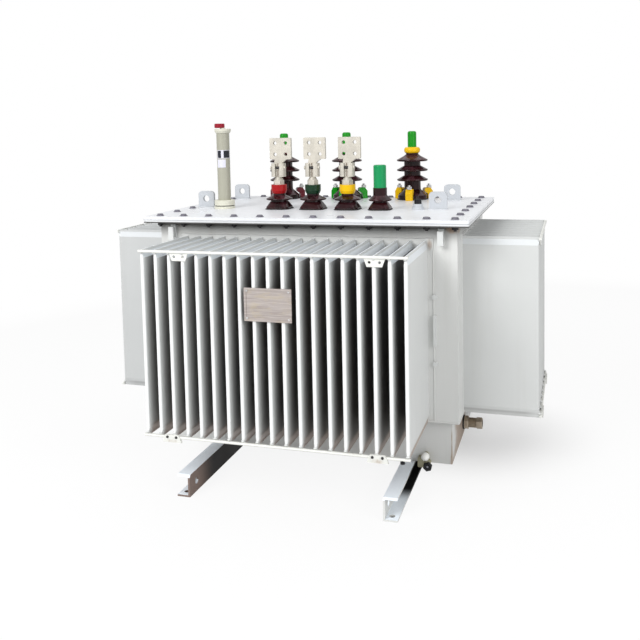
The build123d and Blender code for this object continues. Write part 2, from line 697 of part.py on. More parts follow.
# Oil level gauge: flanged base with a seal groove, tube, collar with a stem, knob
seal_top = GAUGE_FOOT_HEIGHT + GAUGE_SEAL_HEIGHT
base_top = seal_top + GAUGE_BASE_HEIGHT
tube_top = base_top + GAUGE_TUBE_HEIGHT
collar_top = tube_top + GAUGE_COLLAR_HEIGHT
stem_top = collar_top + GAUGE_STEM_HEIGHT
knob_top = stem_top + GAUGE_KNOB_HEIGHT
gauge_base = [
    (0, 0), (GAUGE_FOOT_R, 0), (GAUGE_FOOT_R, GAUGE_FOOT_HEIGHT), (GAUGE_SEAL_R, GAUGE_FOOT_HEIGHT),
    (GAUGE_SEAL_R, seal_top), (GAUGE_BASE_R, seal_top), (GAUGE_BASE_R, base_top - GAUGE_EDGE),
    (GAUGE_BASE_R - GAUGE_EDGE, base_top), (0, base_top),
]
save(turned(gauge_base, GAUGE_X, GAUGE_Y), "gauge_base")
gauge_tube = [(0, base_top), (GAUGE_TUBE_R, base_top), (GAUGE_TUBE_R, tube_top), (0, tube_top)]
save(turned(gauge_tube, GAUGE_X, GAUGE_Y), "gauge_tube")
gauge_collar = [
    (0, tube_top), (GAUGE_TUBE_R + GAUGE_EDGE, tube_top), (GAUGE_COLLAR_R, tube_top + GAUGE_COLLAR_FLARE),
    (GAUGE_COLLAR_R, collar_top - GAUGE_EDGE),
    (GAUGE_COLLAR_R - GAUGE_EDGE, collar_top), (GAUGE_STEM_R, collar_top), (GAUGE_STEM_R, stem_top), (0, stem_top),
]
save(turned(gauge_collar, GAUGE_X, GAUGE_Y), "gauge_collar")
gauge_knob = [
    (0, stem_top), (GAUGE_KNOB_R - GAUGE_EDGE, stem_top), (GAUGE_KNOB_R, stem_top + GAUGE_EDGE),
    (GAUGE_KNOB_R, knob_top - GAUGE_EDGE), (GAUGE_KNOB_R - GAUGE_EDGE, knob_top), (0, knob_top),
]
save(turned(gauge_knob, GAUGE_X + GAUGE_KNOB_OFFSET, GAUGE_Y), "gauge_knob")

# Thermometer pocket: stepped base and a round cap
pocket_base = [
    (0, 0), (POCKET_FOOT_R, 0), (POCKET_FOOT_R, POCKET_FOOT_HEIGHT), (POCKET_BASE_R, POCKET_FOOT_HEIGHT),
    (POCKET_BASE_R, POCKET_BASE_HEIGHT), (0, POCKET_BASE_HEIGHT),
]
save(turned(pocket_base, POCKET_X, POCKET_Y), "pocket_base")
pocket_top = POCKET_BASE_HEIGHT + POCKET_CAP_HEIGHT
pocket_cap = [
    (0, POCKET_BASE_HEIGHT), (POCKET_CAP_R, POCKET_BASE_HEIGHT), (POCKET_CAP_R, pocket_top), (0, pocket_top)
]
save(turned(pocket_cap, POCKET_X, POCKET_Y), "pocket_cap")

# Drain valve: flange, body and plug along +X
steps = (
    (VALVE_FLANGE_R, VALVE_FLANGE_THICK),
    (VALVE_BODY_R, VALVE_BODY_LENGTH),
    (VALVE_PLUG_R, VALVE_PLUG_LENGTH),
)
with BuildPart() as drain_valve:
    reach = SKIRT_X
    for radius, length in steps:
        with BuildSketch(Plane.YZ.offset(reach)):
            with Locations((VALVE_Y, VALVE_Z)):
                Circle(radius)
        extrude(amount=length)
        reach += length
save(drain_valve, "drain_valve")

# Oil sampling valve: a block with rounded edges, a spindle boss above its right and an outlet beside it
with BuildPart() as sampling_valve:
    with BuildSketch(Plane.XZ.offset(SKIRT_Y)):
        with Locations((SAMPLER_X, SAMPLER_Z)):
            RectangleRounded(SAMPLER_WIDTH, SAMPLER_HEIGHT, SAMPLER_ROUND)
    extrude(amount=SAMPLER_DEPTH)
    with BuildSketch(Plane.XZ.offset(SKIRT_Y)):
        with Locations((SAMPLER_X + SPINDLE_SHIFT, SAMPLER_Z + SPINDLE_RISE)):
            Circle(SPINDLE_R)
    extrude(amount=SPINDLE_LENGTH)
    with BuildSketch(Plane.XZ.offset(SKIRT_Y)):
        with Locations((SAMPLER_X + OUTLET_SHIFT, SAMPLER_Z - OUTLET_DROP)):
            Circle(OUTLET_R)
    extrude(amount=OUTLET_LENGTH)
save(sampling_valve, "sampling_valve")


def skid(name, side):
    """Saves one channel skid, its web inward and its flanges outward; side is -1 left, 1 right."""
    web = SKID_OFFSET + side * SKID_WEB_SPACING / 2
    tip = web + side * SKID_FLANGE
    inner = web + side * SKID_WALL
    hole_x = SKID_OFFSET + side * SKID_HOLE_GAUGE / 2
    top = SKID_HEIGHT
    with BuildPart() as channel:
        with BuildSketch(Plane.XZ.offset(-SKID_LENGTH / 2)):
            with BuildLine():
                Polyline(
                    (web, 0), (tip, 0), (tip, SKID_WALL), (inner, SKID_WALL),
                    (inner, top - SKID_WALL), (tip, top - SKID_WALL), (tip, top), (web, top),
                    close=True,
                )
            make_face()
        extrude(amount=SKID_LENGTH)
        ends = channel.edges().filter_by(Axis.X).group_by(Axis.Z)[-1]
        chamfer(ends, SKID_END_CUT)
        with BuildSketch(Plane.XY):
            with Locations((hole_x, 0)):
                with GridLocations(1, SKID_HOLE_SPACING, 1, 2):
                    Circle(SKID_HOLE_R)
        extrude(amount=SKID_WALL, mode=Mode.SUBTRACT)
        with BuildSketch(Plane.YZ.offset(min(web, inner))):
            with Locations((0, SKID_HEIGHT / 2)):
                with GridLocations(WEB_HOLE_SPACING, 1, 2, 1):
                    Circle(WEB_HOLE_R)
        extrude(amount=SKID_WALL, mode=Mode.SUBTRACT)
    save(channel, name)


skid("skid_left", -1)
skid("skid_right", 1)
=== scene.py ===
"""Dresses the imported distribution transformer: finishes, small fittings, floor, light and camera.

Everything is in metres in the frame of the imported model: +X to the right along
the long side, +Y to the back, +Z up, the skids standing on z = 0.
"""
import logging
import math
from dataclasses import dataclass, replace
from enum import Enum

import bpy
import numpy as np
from mathutils import Matrix, Vector
from numpy.typing import ArrayLike


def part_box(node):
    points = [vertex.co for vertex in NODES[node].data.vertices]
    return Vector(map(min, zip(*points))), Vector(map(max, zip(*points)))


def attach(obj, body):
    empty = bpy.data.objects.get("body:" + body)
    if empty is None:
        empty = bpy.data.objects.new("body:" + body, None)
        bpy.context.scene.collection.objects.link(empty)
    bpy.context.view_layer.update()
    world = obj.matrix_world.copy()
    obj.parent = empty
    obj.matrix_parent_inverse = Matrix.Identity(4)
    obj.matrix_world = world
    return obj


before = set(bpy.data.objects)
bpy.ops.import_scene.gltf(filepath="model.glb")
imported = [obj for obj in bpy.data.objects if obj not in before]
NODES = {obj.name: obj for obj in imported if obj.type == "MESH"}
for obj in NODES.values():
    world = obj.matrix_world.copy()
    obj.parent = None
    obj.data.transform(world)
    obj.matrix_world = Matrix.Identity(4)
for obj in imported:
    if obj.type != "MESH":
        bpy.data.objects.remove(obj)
LOG = logging.getLogger("transformer")
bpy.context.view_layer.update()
PHASES = (1, 2, 3)
BOTH_SIDES = (-1, 1)
CREASE = 35.0
SEAM_CREASE = 60.0
TURN_TO_FRONT = np.array([[1, 0, 0], [0, 0, -1], [0, 1, 0]])
TURN_TO_RIGHT = np.array([[0, 0, 1], [1, 0, 0], [0, 1, 0]])

Array = np.ndarray
Colour = tuple[float, float, float, float]
Triple = tuple[float, float, float]
Span = tuple[float, float]
Face = tuple[int, ...]
Values = dict[str | int, object]
Socket = bpy.types.NodeSocket
Material = bpy.types.Material


def linear(red: int, green: int, blue: int) -> Colour:
    """Turns a screen colour into the linear colour that a shader takes.

    Each part is a share of 255. Up to 0.04045 it is divided by 12.92; above
    that, 0.055 is added, it is divided by 1.055 and raised to the power 2.4.

    Args:
        red: 0 to 255.
        green: 0 to 255.
        blue: 0 to 255.

    Returns:
        The linear colour with alpha 1.
    """
    screen = np.array([red, green, blue]) / 255.0
    low = screen / 12.92
    high = ((screen + 0.055) / 1.055) ** 2.4
    return (*np.where(screen <= 0.04045, low, high).tolist(), 1.0)


def shade(colour: Colour, factor: float) -> Colour:
    """Multiplies a linear colour by a factor, keeping alpha 1."""
    return (*(part * factor for part in colour[:3]), 1.0)


@dataclass
class Surface:
    """A mesh as plain arrays: points (n, 3) and faces as tuples of point numbers."""

    points: Array
    faces: list[Face]

    def moved(self, offset: ArrayLike) -> "Surface":
        """Returns the surface shifted by an offset."""
        return Surface(self.points + np.asarray(offset), self.faces)

    def turned(self, matrix: ArrayLike) -> "Surface":
        """Returns the surface with each point multiplied by a 3 by 3 matrix."""
        return Surface(self.points @ np.asarray(matrix).T, self.faces)

    def copies(self, places: ArrayLike) -> "Surface":
        """Returns one surface that holds a copy at each place, given as offsets (m, 3)."""
        return joined([self.moved(place) for place in np.asarray(places, dtype=float)])


def joined(surfaces: list[Surface]) -> Surface:
    """Puts several surfaces into one, their points one after another.

    Args:
        surfaces: The surfaces, which need not touch.

    Returns:
        One surface with all their points and faces.
    """
    starts = np.cumsum([0] + [len(each.points) for each in surfaces[:-1]]).tolist()
    faces = [
        tuple(number + start for number in face)
        for each, start in zip(surfaces, starts)
        for face in each.faces
    ]
    return Surface(np.concatenate([each.points for each in surfaces]), faces)


def grid_faces(rows: int, columns: int, wrap: bool) -> list[Face]:
    """Lists the quads of a grid of points that runs row by row.

    Args:
        rows: Number of rows.
        columns: Number of points in a row.
        wrap: Whether the last column joins the first.

    Returns:
        The quads, each as four point numbers.
    """
    across = columns if wrap else columns - 1
    row, column = np.meshgrid(np.arange(rows - 1), np.arange(across), indexing="ij")
    here = row * columns + column
    right = row * columns + (column + 1) % columns
    quads = np.stack([here, right, right + columns, here + columns], axis=-1)
    return [tuple(quad) for quad in quads.reshape(-1, 4).tolist()]


def skinned(rings: Array) -> Surface:
    """Skins a stack of rings and closes both ends with a flat face.

    Args:
        rings: Points (rows, columns, 3), each row once round.

    Returns:
        The closed surface.
    """
    rows, columns = rings.shape[:2]
    last = (rows - 1) * columns
    ends = [tuple(range(columns - 1, -1, -1)), tuple(range(last, last + columns))]
    return Surface(rings.reshape(-1, 3), grid_faces(rows, columns, True) + ends)


def lathe(profile: ArrayLike, sides: int = 32, start: float = 0.0) -> Surface:
    """Turns a profile about the Z axis.

    The point at row i and column j is (r_i cos a_j, r_i sin a_j, z_i), with a_j
    going once round the axis.

    Args:
        profile: Rows of (radius, height) from the foot to the top.
        sides: Points round the axis.
        start: Angle of the first point, in radians.

    Returns:
        The turned surface, closed with a flat face at each end.
    """
    radius, height = np.asarray(profile, dtype=float).T[:, :, None]
    angles = start + np.linspace(0, 2 * math.pi, sides, endpoint=False)
    z = np.repeat(height, sides, axis=1)
    return skinned(np.stack([radius * np.cos(angles), radius * np.sin(angles), z], axis=-1))


def slab(outline: Array, low: float, high: float, bevel: float) -> Surface:
    """Raises a convex outline in the XY plane from one height to another, with bevelled rims.

    Each row of points is the outline, drawn in towards its centre by the bevel
    at the first and last heights.

    Args:
        outline: Points (n, 2), anticlockwise.
        low: Height of the foot.
        high: Height of the top.
        bevel: Width and height of the bevel.

    Returns:
        The closed surface.
    """
    centre = outline.mean(axis=0)
    reach = np.abs(outline - centre).max(axis=0)
    inner = centre + (outline - centre) * (1 - bevel / reach)
    rows = [(inner, low), (outline, low + bevel), (outline, high - bevel), (inner, high)]
    return skinned(np.stack([np.column_stack([ring, np.full(len(ring), z)]) for ring, z in rows]))


def rounded_square(side: float, corner: float, steps: int = 5) -> Array:
    """Gives a square with round corners, as four quarter circles joined by straight sides.

    Args:
        side: Length of a side.
        corner: Radius of the corners.
        steps: Points on each quarter circle.

    Returns:
        Points (n, 2), anticlockwise, centred on 0, 0.
    """
    angles = np.linspace(0, math.pi / 2, steps) + np.arange(4)[:, None] * math.pi / 2
    centres = np.array([[1, 1], [-1, 1], [-1, -1], [1, -1]]) * (side / 2 - corner)
    arcs = centres[:, None, :] + corner * np.stack([np.cos(angles), np.sin(angles)], axis=-1)
    return arcs.reshape(-1, 2)


def tube(path: Array, radius: Array, sides: int) -> Surface:
    """Carries a circle along a path, with flat ends.

    Round each path point stands a circle in the plane across the path's
    direction there, spanned by two unit vectors square to it.

    Args:
        path: Points (n, 3).
        radius: The circle's radius at each path point.
        sides: Points round the circle.

    Returns:
        The closed surface.
    """
    along = np.gradient(path, axis=0)
    along /= np.linalg.norm(along, axis=1, keepdims=True)
    upright = np.abs(along[:, 2:3]) > 0.9
    first = np.cross(along, np.where(upright, np.array([[1.0, 0.0, 0.0]]), np.array([[0.0, 0.0, 1.0]])))
    first /= np.linalg.norm(first, axis=1, keepdims=True)
    second = np.cross(along, first)
    angles = np.linspace(0, 2 * math.pi, sides, endpoint=False)[None, :, None]
    ring = first[:, None, :] * np.cos(angles) + second[:, None, :] * np.sin(angles)
    return skinned(path[:, None, :] + radius[:, None, None] * ring)


def weld_bead(start: ArrayLike, end: ArrayLike, radius: float, ripple: float = 0.006) -> Surface:
    """Lays a rippled weld bead along a straight line.

    The radius at distance s is the full radius times 0.88 plus 0.12 of the
    absolute sine of pi s over the ripple's length, with the ends drawn in.

    Args:
        start: First point.
        end: Last point.
        radius: Radius at the crest of a ripple.
        ripple: Length of one ripple.

    Returns:
        The bead's surface.
    """
    start = np.asarray(start, dtype=float)
    end = np.asarray(end, dtype=float)
    length = float(np.linalg.norm(end - start))
    fewest, spacing, sides = 8, 0.003, 6
    trough, drawn_in = 0.88, 0.3
    along = np.linspace(0.0, length, max(fewest, int(length / spacing)))
    path = start + (end - start) * (along / length)[:, None]
    swell = trough + (1 - trough) * np.abs(np.sin(math.pi * along / ripple))
    swell[[0, -1]] = drawn_in
    return tube(path, radius * swell, sides)


def bead_frame(low: Vector, high: Vector, z: float, radius: float, ripple: float = 0.006) -> list[Surface]:
    """Lays weld beads round a box at one height.

    Args:
        low: The box's lowest corner.
        high: Its highest corner.
        z: Height of the beads.
        radius: Radius at the crest of a ripple.
        ripple: Length of one ripple.

    Returns:
        Four beads, from the front one anticlockwise.
    """
    corners = [(low.x, low.y, z), (high.x, low.y, z), (high.x, high.y, z), (low.x, high.y, z)]
    return [weld_bead(a, b, radius, ripple) for a, b in zip(corners, corners[1:] + corners[:1])]


def curved_plate(radius: float, angles: Span, heights: Span, proud: float) -> Surface:
    """Lays a thin plate on an upright cylinder round the Z axis.

    The outer face is the grid (R cos a, R sin a, z) with R the radius plus what
    it stands proud, and one more row and column on each side folds it down to
    the cylinder.

    Args:
        radius: Radius of the cylinder.
        angles: First and last angle, in degrees.
        heights: Foot and top.
        proud: How far the plate stands proud.

    Returns:
        The plate's surface, open behind.
    """
    columns = 15
    turn = np.radians(np.linspace(*angles, columns))
    turn = np.concatenate([turn[:1], turn, turn[-1:]])
    reach = np.full((4, len(turn)), radius + proud)
    reach[[0, -1], :] = radius - proud
    reach[:, [0, -1]] = radius - proud
    z = np.repeat(np.repeat(heights, 2)[:, None], len(turn), axis=1)
    points = np.stack([reach * np.cos(turn), reach * np.sin(turn), z], axis=-1).reshape(-1, 3)
    return Surface(points, grid_faces(4, len(turn), False))


def piece(name: str, surface: Surface, material: Material, smooth: float = CREASE) -> None:
    """Makes an object from a surface, rides it on the frame and gives it its finish.

    Args:
        name: The piece's name.
        surface: Its points and faces, in place.
        material: Its material.
        smooth: Edges flatter than this, in degrees, are shaded smooth.
    """
    mesh = bpy.data.meshes.new(name)
    mesh.from_pydata(surface.points.tolist(), [], surface.faces)
    mesh.materials.append(material)
    mesh.validate()
    mesh.shade_smooth()
    mesh.set_sharp_from_angle(angle=math.radians(smooth))
    thing = bpy.data.objects.new(name, mesh)
    bpy.context.scene.collection.objects.link(thing)
    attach(thing, "root")
    LOG.info("piece %s: %d points, %d faces", name, len(mesh.vertices), len(mesh.polygons))


def dress(names: list[str], material: Material) -> None:
    """Gives nodes of the frame one material in place of their own.

    Args:
        names: The nodes' names.
        material: The material.
    """
    for name in names:
        slots = NODES[name].material_slots
        if not slots:
            NODES[name].data.materials.append(material)
        for entry in slots:
            entry.material = material
        LOG.info("dressed %s with %s", name, material.name)


def place_of(node: str) -> tuple[Vector, Vector, Vector]:
    """Measures a node of the frame.

    Args:
        node: The node's name.

    Returns:
        Its lowest corner, highest corner and middle.
    """
    low, high = (Vector(corner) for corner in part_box(node))
    return low, high, (low + high) / 2


class Sheet:
    """Adds and links shader nodes in one node tree."""

    def __init__(self, tree: bpy.types.NodeTree) -> None:
        """Keeps the tree."""
        self.tree = tree

    def plug(self, value: object, socket: Socket) -> None:
        """Links an output socket to an input, or sets a plain value on it.

        Args:
            value: The output socket or the value.
            socket: The input.
        """
        if isinstance(value, bpy.types.NodeSocket):
            self.tree.links.new(value, socket)
        else:
            socket.default_value = value

    def add(self, kind: str, values: Values | None = None, **settings: object) -> bpy.types.Node:
        """Adds a shader node, sets its properties and then plugs its inputs.

        Args:
            kind: The node's type name after ShaderNode.
            values: Input name or number to a value or to an output socket.
            settings: Properties of the node.

        Returns:
            The new node.
        """
        node = self.tree.nodes.new(f"ShaderNode{kind}")
        for key, value in settings.items():
            setattr(node, key, value)
        for key, value in (values or {}).items():
            self.plug(value, node.inputs[key])
        return node

    def math(self, operation: str, *values: object) -> Socket:
        """Adds a Math node and returns its output."""
        return self.add("Math", dict(enumerate(values)), operation=operation).outputs[0]

    def times(self, first: object, *others: object) -> Socket:
        """Multiplies values one after another.

        Args:
            first: A value or an output socket.
            others: What it is multiplied by.

        Returns:
            The product's socket.
        """
        for other in others:
            first = self.math("MULTIPLY", first, other)
        return first

    def noise(self, vector: Socket, scale: object, detail: float, roughness: float = 0.5) -> Socket:
        """Adds a Noise Texture and returns its value."""
        values = {"Vector": vector, "Scale": scale, "Detail": detail, "Roughness": roughness}
        return self.add("TexNoise", values).outputs["Fac"]

    def grain(self, vector: Socket, stretch: Triple, detail: float, roughness: float) -> Socket:
        """Returns the value of a noise with its own scale along each axis."""
        stretched = self.add("Mapping", {"Vector": vector, "Scale": stretch}).outputs["Vector"]
        return self.noise(stretched, 1.0, detail, roughness)

    def band(self, value: object, low: float, high: float, start: float = 0.0, end: float = 1.0) -> Socket:
        """Maps a value smoothly from one range to another, clamped."""
        values = {"Value": value, "From Min": low, "From Max": high, "To Min": start, "To Max": end}
        return self.add("MapRange", values, interpolation_type="SMOOTHSTEP").outputs["Result"]

    def mix(self, factor: object, first: object, second: object) -> Socket:
        """Mixes two colours and returns the result."""
        return self.add("Mix", {0: factor, 6: first, 7: second}, data_type="RGBA").outputs[2]

    def coordinates(self) -> Socket:
        """Adds a Texture Coordinate node and returns its Object output."""
        return self.add("TexCoord").outputs["Object"]

    def split(self, vector: Socket) -> bpy.types.NodeOutputs:
        """Splits a vector and returns the outputs X, Y and Z."""
        return self.add("SeparateXYZ", {0: vector}).outputs

    def upward(self) -> Socket:
        """Returns how far the face looks up: the Z of its normal."""
        return self.split(self.add("NewGeometry").outputs["Normal"])["Z"]


class Effect(Sheet):
    """A shader node group that several finishes share, built once."""

    def __init__(self, name: str, values: dict[str, float], outputs: tuple[str, ...]) -> None:
        """Starts an empty group that takes a Vector.

        Args:
            name: The group's name.
            values: Name and default of each other input.
            outputs: Names of the outputs, each a value.
        """
        super().__init__(bpy.data.node_groups.new(name, "ShaderNodeTree"))
        sockets = self.tree.interface
        sockets.new_socket(name="Vector", in_out="INPUT", socket_type="NodeSocketVector")
        for key, value in values.items():
            socket = sockets.new_socket(name=key, in_out="INPUT", socket_type="NodeSocketFloat")
            socket.default_value = value
        for key in outputs:
            sockets.new_socket(name=key, in_out="OUTPUT", socket_type="NodeSocketFloat")
        self.source = self.tree.nodes.new("NodeGroupInput").outputs
        self.sink = self.tree.nodes.new("NodeGroupOutput").inputs

    def put(self, name: str, socket: Socket) -> None:
        """Links a socket to one of the group's outputs."""
        self.plug(socket, self.sink[name])

    def into(self, sheet: Sheet, values: Values) -> bpy.types.NodeOutputs:
        """Places the group in a material's sheet and returns its outputs."""
        return sheet.add("Group", values, node_tree=self.tree).outputs


def make_weather() -> Effect:
    """Builds the group for cloudy tone, vertical streaks and settled dust.

    Cloud is a broad noise, Streak a noise stretched along Z, Dust is larger on
    faces that look up and is broken by a finer noise. On the fins and the glaze
    its colour is pale, so there it lays both dust and painted light on their tops.

    Returns:
        The group.
    """
    effect = Effect("weather", {"Scale": 3.0}, ("Cloud", "Streak", "Dust"))
    vector = effect.source["Vector"]
    cloud = effect.noise(vector, effect.source["Scale"], detail=5.0)
    effect.put("Cloud", effect.band(cloud, 0.35, 0.68))
    streak = effect.grain(vector, stretch=(26.0, 26.0, 1.6), detail=4.0, roughness=0.6)
    effect.put("Streak", effect.band(streak, 0.5, 0.78))
    speckle = effect.band(effect.noise(vector, scale=38.0, detail=6.0, roughness=0.65), 0.42, 0.62)
    effect.put("Dust", effect.times(effect.band(effect.upward(), 0.3, 1.0), speckle))
    return effect


def make_peel() -> Effect:
    """Builds the group for a sprayed coat: Height is a fine noise on a gentle broad one.

    Returns:
        The group.
    """
    effect = Effect("sprayed_coat", {"Grain": 500.0}, ("Height",))
    vector = effect.source["Vector"]
    fine = effect.times(effect.noise(vector, effect.source["Grain"], detail=2.0), 0.35)
    effect.put("Height", effect.math("ADD", fine, effect.noise(vector, scale=14.0, detail=2.0)))
    return effect


WEATHER = make_weather()
PEEL = make_peel()


class Recipe(Sheet):
    """The shader nodes of one new material."""

    def __init__(self, name: str) -> None:
        """Starts the material with its Principled shader.

        Args:
            name: The material's name.
        """
        self.material = bpy.data.materials.new(name)
        self.material.use_nodes = True
        super().__init__(self.material.node_tree)
        self.vector = self.coordinates()

    def weather(self, scale: float) -> bpy.types.NodeOutputs:
        """Places the weather group and returns its outputs."""
        return WEATHER.into(self, {"Vector": self.vector, "Scale": scale})

    def peel(self, grain: float) -> Socket:
        """Places the sprayed coat and returns its height."""
        return PEEL.into(self, {"Vector": self.vector, "Grain": grain})["Height"]

    def finished(self, values: Values, height: Socket, strength: float, distance: float) -> Material:
        """Feeds the Principled shader.

        Args:
            values: Input name to a value or to an output socket.
            height: Height of the bump that feeds Normal.
            strength: The bump's strength.
            distance: Its depth.

        Returns:
            The material.
        """
        bump = self.add("Bump", {"Strength": strength, "Distance": distance, "Height": height})
        inputs = self.tree.nodes["Principled BSDF"].inputs
        for name, value in {**values, "Normal": bump.outputs["Normal"]}.items():
            self.plug(value, inputs[name])
        return self.material


@dataclass(frozen=True)
class Spot:
    """A patch of rust, or of painted shade round a hole: its middle and reach along each axis."""

    middle: Triple
    reach: Triple


class Axis(Enum):
    """Which way a row of fins or a skid reaches."""

    ACROSS = "X"
    DEEP = "Y"

    def other(self) -> str:
        """Names the level axis square to this one."""
        return Axis.DEEP.value if self is Axis.ACROSS else Axis.ACROSS.value


@dataclass(frozen=True)
class Gaps:
    """Painted shade that lies in gaps and under the tank, where light doesn't reach; the same ramps also lay
    the brown at the fins' feet.

    It starts at the distance tip from the middle and is full at root, counted
    along the axis. It stops short of the outer faces, which stand at the
    distance edge along the other axis, and fades out below foot and above top.
    Faces that look up stay unshaded by the share level where they are higher than
    lid. The outermost millimetres carry a painted highlight, as strong as its share.
    """

    axis: Axis
    tip: float
    root: float
    edge: float = 1.0
    foot: float = 0.236
    top: float = 0.760
    strength: float = 0.86
    level: float = 1.0
    # Default colours of the painted shade.
    tints: tuple[Colour, Colour] = (linear(40, 40, 43), linear(66, 57, 50))
    tip_highlight: float = 0.0
    lid: float = 0.0
    highlight_tint: Colour = linear(240, 241, 241)
    edge_fade: float = 0.002
    height_fade: float = 0.02
    foot_share: float = 0.25
    looking_up: Span = (0.10, 0.22)
    rim: Span = (-0.003, 0.001)

    def over(self, sheet: Recipe, cloud: Socket, paint: Socket) -> Socket:
        """Lays the painted shade over a paint: the depth, edge, height and facing ramps multiplied.

        Args:
            sheet: The material's nodes.
            cloud: A broad noise that mixes the tints.
            paint: Colour of the paint.

        Returns:
            Colour of the paint with the painted shade and the painted highlight on the tips.
        """
        place = sheet.split(sheet.vector)
        reach = sheet.math("ABSOLUTE", place[self.axis.value])
        aside = sheet.math("ABSOLUTE", place[self.axis.other()])
        deep = sheet.band(reach, self.tip, self.root)
        inside = sheet.band(aside, self.edge, self.edge - self.edge_fade)
        raised = sheet.band(place["Z"], self.foot - self.height_fade, self.foot, self.foot_share, 1.0)
        lowered = sheet.band(place["Z"], self.top, self.top + self.height_fade, 1.0, 0.0)
        over_lid = sheet.math("GREATER_THAN", place["Z"], self.lid)
        open_top = sheet.times(sheet.band(sheet.upward(), *self.looking_up), over_lid)
        side = sheet.band(open_top, 0.0, 1.0, 1.0, 1.0 - self.level)
        painted_shade = sheet.times(deep, inside, raised, lowered, side, self.strength)
        soiled = sheet.mix(painted_shade, paint, sheet.mix(cloud, *self.tints))
        # Painted highlight on the outermost millimetres of the tips.
        rim = sheet.band(reach, self.tip + self.rim[0], self.tip + self.rim[1])
        return sheet.mix(sheet.times(rim, self.tip_highlight), soiled, self.highlight_tint)


@dataclass(frozen=True)
class Enamel:
    """Sprayed enamel on steel, with cloudy tone, dust, a few rust patches, and painted light and shade.

    Faces that look up are painted paler by a share, as painted light from above. A
    painted shadow line can run along a lower edge, just above a given height, or
    none for 0. The wall under the cover can carry the cover's painted shadow.
    """

    name: str
    colour: Colour
    roughness: float = 0.36
    dirt: float = 0.10
    rust_and_shade: tuple[Spot, ...] = ()
    gaps: tuple[Gaps, ...] = ()
    eaves_shadow: bool = False
    dust_and_top_light: Colour = linear(176, 170, 158)
    top_light: float = 0.0
    shadow_line: float = 0.0
    shine: float = 0.5
    cloud_share: float = 0.5
    cloud_shade: float = 0.93
    dust_and_top_light_share: float = 1.6
    streak_tint: Colour = linear(150, 146, 136)
    top_light_tint: Colour = linear(238, 245, 252)
    shadow_line_tint: Colour = linear(52, 50, 48)
    shadow_line_span: Span = (0.003, 0.005)
    shadow_line_share: float = 0.95
    eaves_shadow_tints: tuple[Colour, Colour] = (linear(84, 82, 78), linear(70, 58, 48))
    eaves_shadow_soft: Span = (0.770, 0.828)
    eaves_shadow_sharp: Span = (0.815, 0.828)
    eaves_shadow_shares: Span = (0.55, 0.45)
    # Colours of the rust, also used for the painted shade round holes.
    rust_and_shade_tints: tuple[Colour, Colour] = (linear(134, 104, 82), linear(176, 154, 132))
    rust_and_shade_share: float = 0.75
    rust_roughness: float = 0.35

    def worn_and_shaded(self, sheet: Recipe, weather: bpy.types.NodeOutputs) -> Socket:
        """Mixes cloudy tone, streaks, dust, painted light on faces that look up, painted gap shade, a painted
        shadow line and the cover's painted shadow over the colour.

        Args:
            sheet: The material's nodes.
            weather: Outputs of the weather group.

        Returns:
            Colour of the paint before the rust and the painted shade round holes.
        """
        cloud = sheet.times(weather["Cloud"], self.cloud_share)
        paint = sheet.mix(cloud, self.colour, shade(self.colour, self.cloud_shade))
        paint = sheet.mix(sheet.times(weather["Streak"], self.dirt), paint, self.streak_tint)
        paint = sheet.mix(sheet.times(weather["Dust"], self.dirt * self.dust_and_top_light_share), paint, self.dust_and_top_light)
        height = sheet.split(sheet.vector)["Z"]
        # Painted light: the faces that look up are paler, in a pale blue.
        if self.top_light:
            raised = sheet.times(sheet.band(sheet.upward(), 0.12, 0.30), self.top_light)
            paint = sheet.mix(raised, paint, self.top_light_tint)
        for gap in self.gaps:
            paint = gap.over(sheet, weather["Cloud"], paint)
        # Painted shadow line along the lower edge of the flange.
        if self.shadow_line:
            foot, top = (self.shadow_line + rise for rise in self.shadow_line_span)
            line = sheet.band(height, foot, top, self.shadow_line_share, 0.0)
            paint = sheet.mix(line, paint, self.shadow_line_tint)
        # Painted shadow of the cover on the wall under it.
        if self.eaves_shadow:
            soft = sheet.band(height, *self.eaves_shadow_soft, 0.0, self.eaves_shadow_shares[0])
            sharp = sheet.band(height, *self.eaves_shadow_sharp, 0.0, self.eaves_shadow_shares[1])
            painted_shade = sheet.mix(weather["Streak"], *self.eaves_shadow_tints)
            paint = sheet.mix(sheet.math("ADD", soft, sharp), paint, painted_shade)
        return paint

    def rust_and_shade_mask(self, sheet: Recipe) -> Socket:
        """Adds up the patches: each falls from 1 at its middle to 0 at its reach, broken by noise.

        Args:
            sheet: The material's nodes.

        Returns:
            How much of the paint is rust or painted shade.
        """
        total: object = 0.0
        for spot in self.rust_and_shade:
            away = sheet.add("VectorMath", {0: sheet.vector, 1: spot.middle}, operation="SUBTRACT").outputs[0]
            near = sheet.add("VectorMath", {0: away, 1: spot.reach}, operation="DIVIDE").outputs[0]
            length = sheet.add("VectorMath", {0: near}, operation="LENGTH").outputs["Value"]
            total = sheet.math("ADD", total, sheet.band(length, 0.15, 1.0, 1.0, 0.0))
        grain = sheet.grain(sheet.vector, stretch=(60.0, 60.0, 22.0), detail=6.0, roughness=0.7)
        return sheet.band(sheet.times(total, grain), 0.18, 0.62, 0.0, self.rust_and_shade_share)

    def build(self) -> Material:
        """Builds the material.

        Returns:
            The material.
        """
        sheet = Recipe(self.name)
        weather = sheet.weather(scale=2.6)
        paint = self.worn_and_shaded(sheet, weather)
        rough = sheet.band(weather["Cloud"], 0.0, 1.0, self.roughness - 0.05, self.roughness + 0.08)
        if self.rust_and_shade:
            mask = self.rust_and_shade_mask(sheet)
            brown = sheet.mix(sheet.noise(sheet.vector, scale=90.0, detail=5.0), *self.rust_and_shade_tints)
            paint = sheet.mix(mask, paint, brown)
            rough = sheet.math("ADD", rough, sheet.times(mask, self.rust_roughness))
        values = {"Base Color": paint, "Roughness": rough, "Specular IOR Level": self.shine}
        return sheet.finished(values, sheet.peel(grain=420.0), strength=0.12, distance=0.0012)


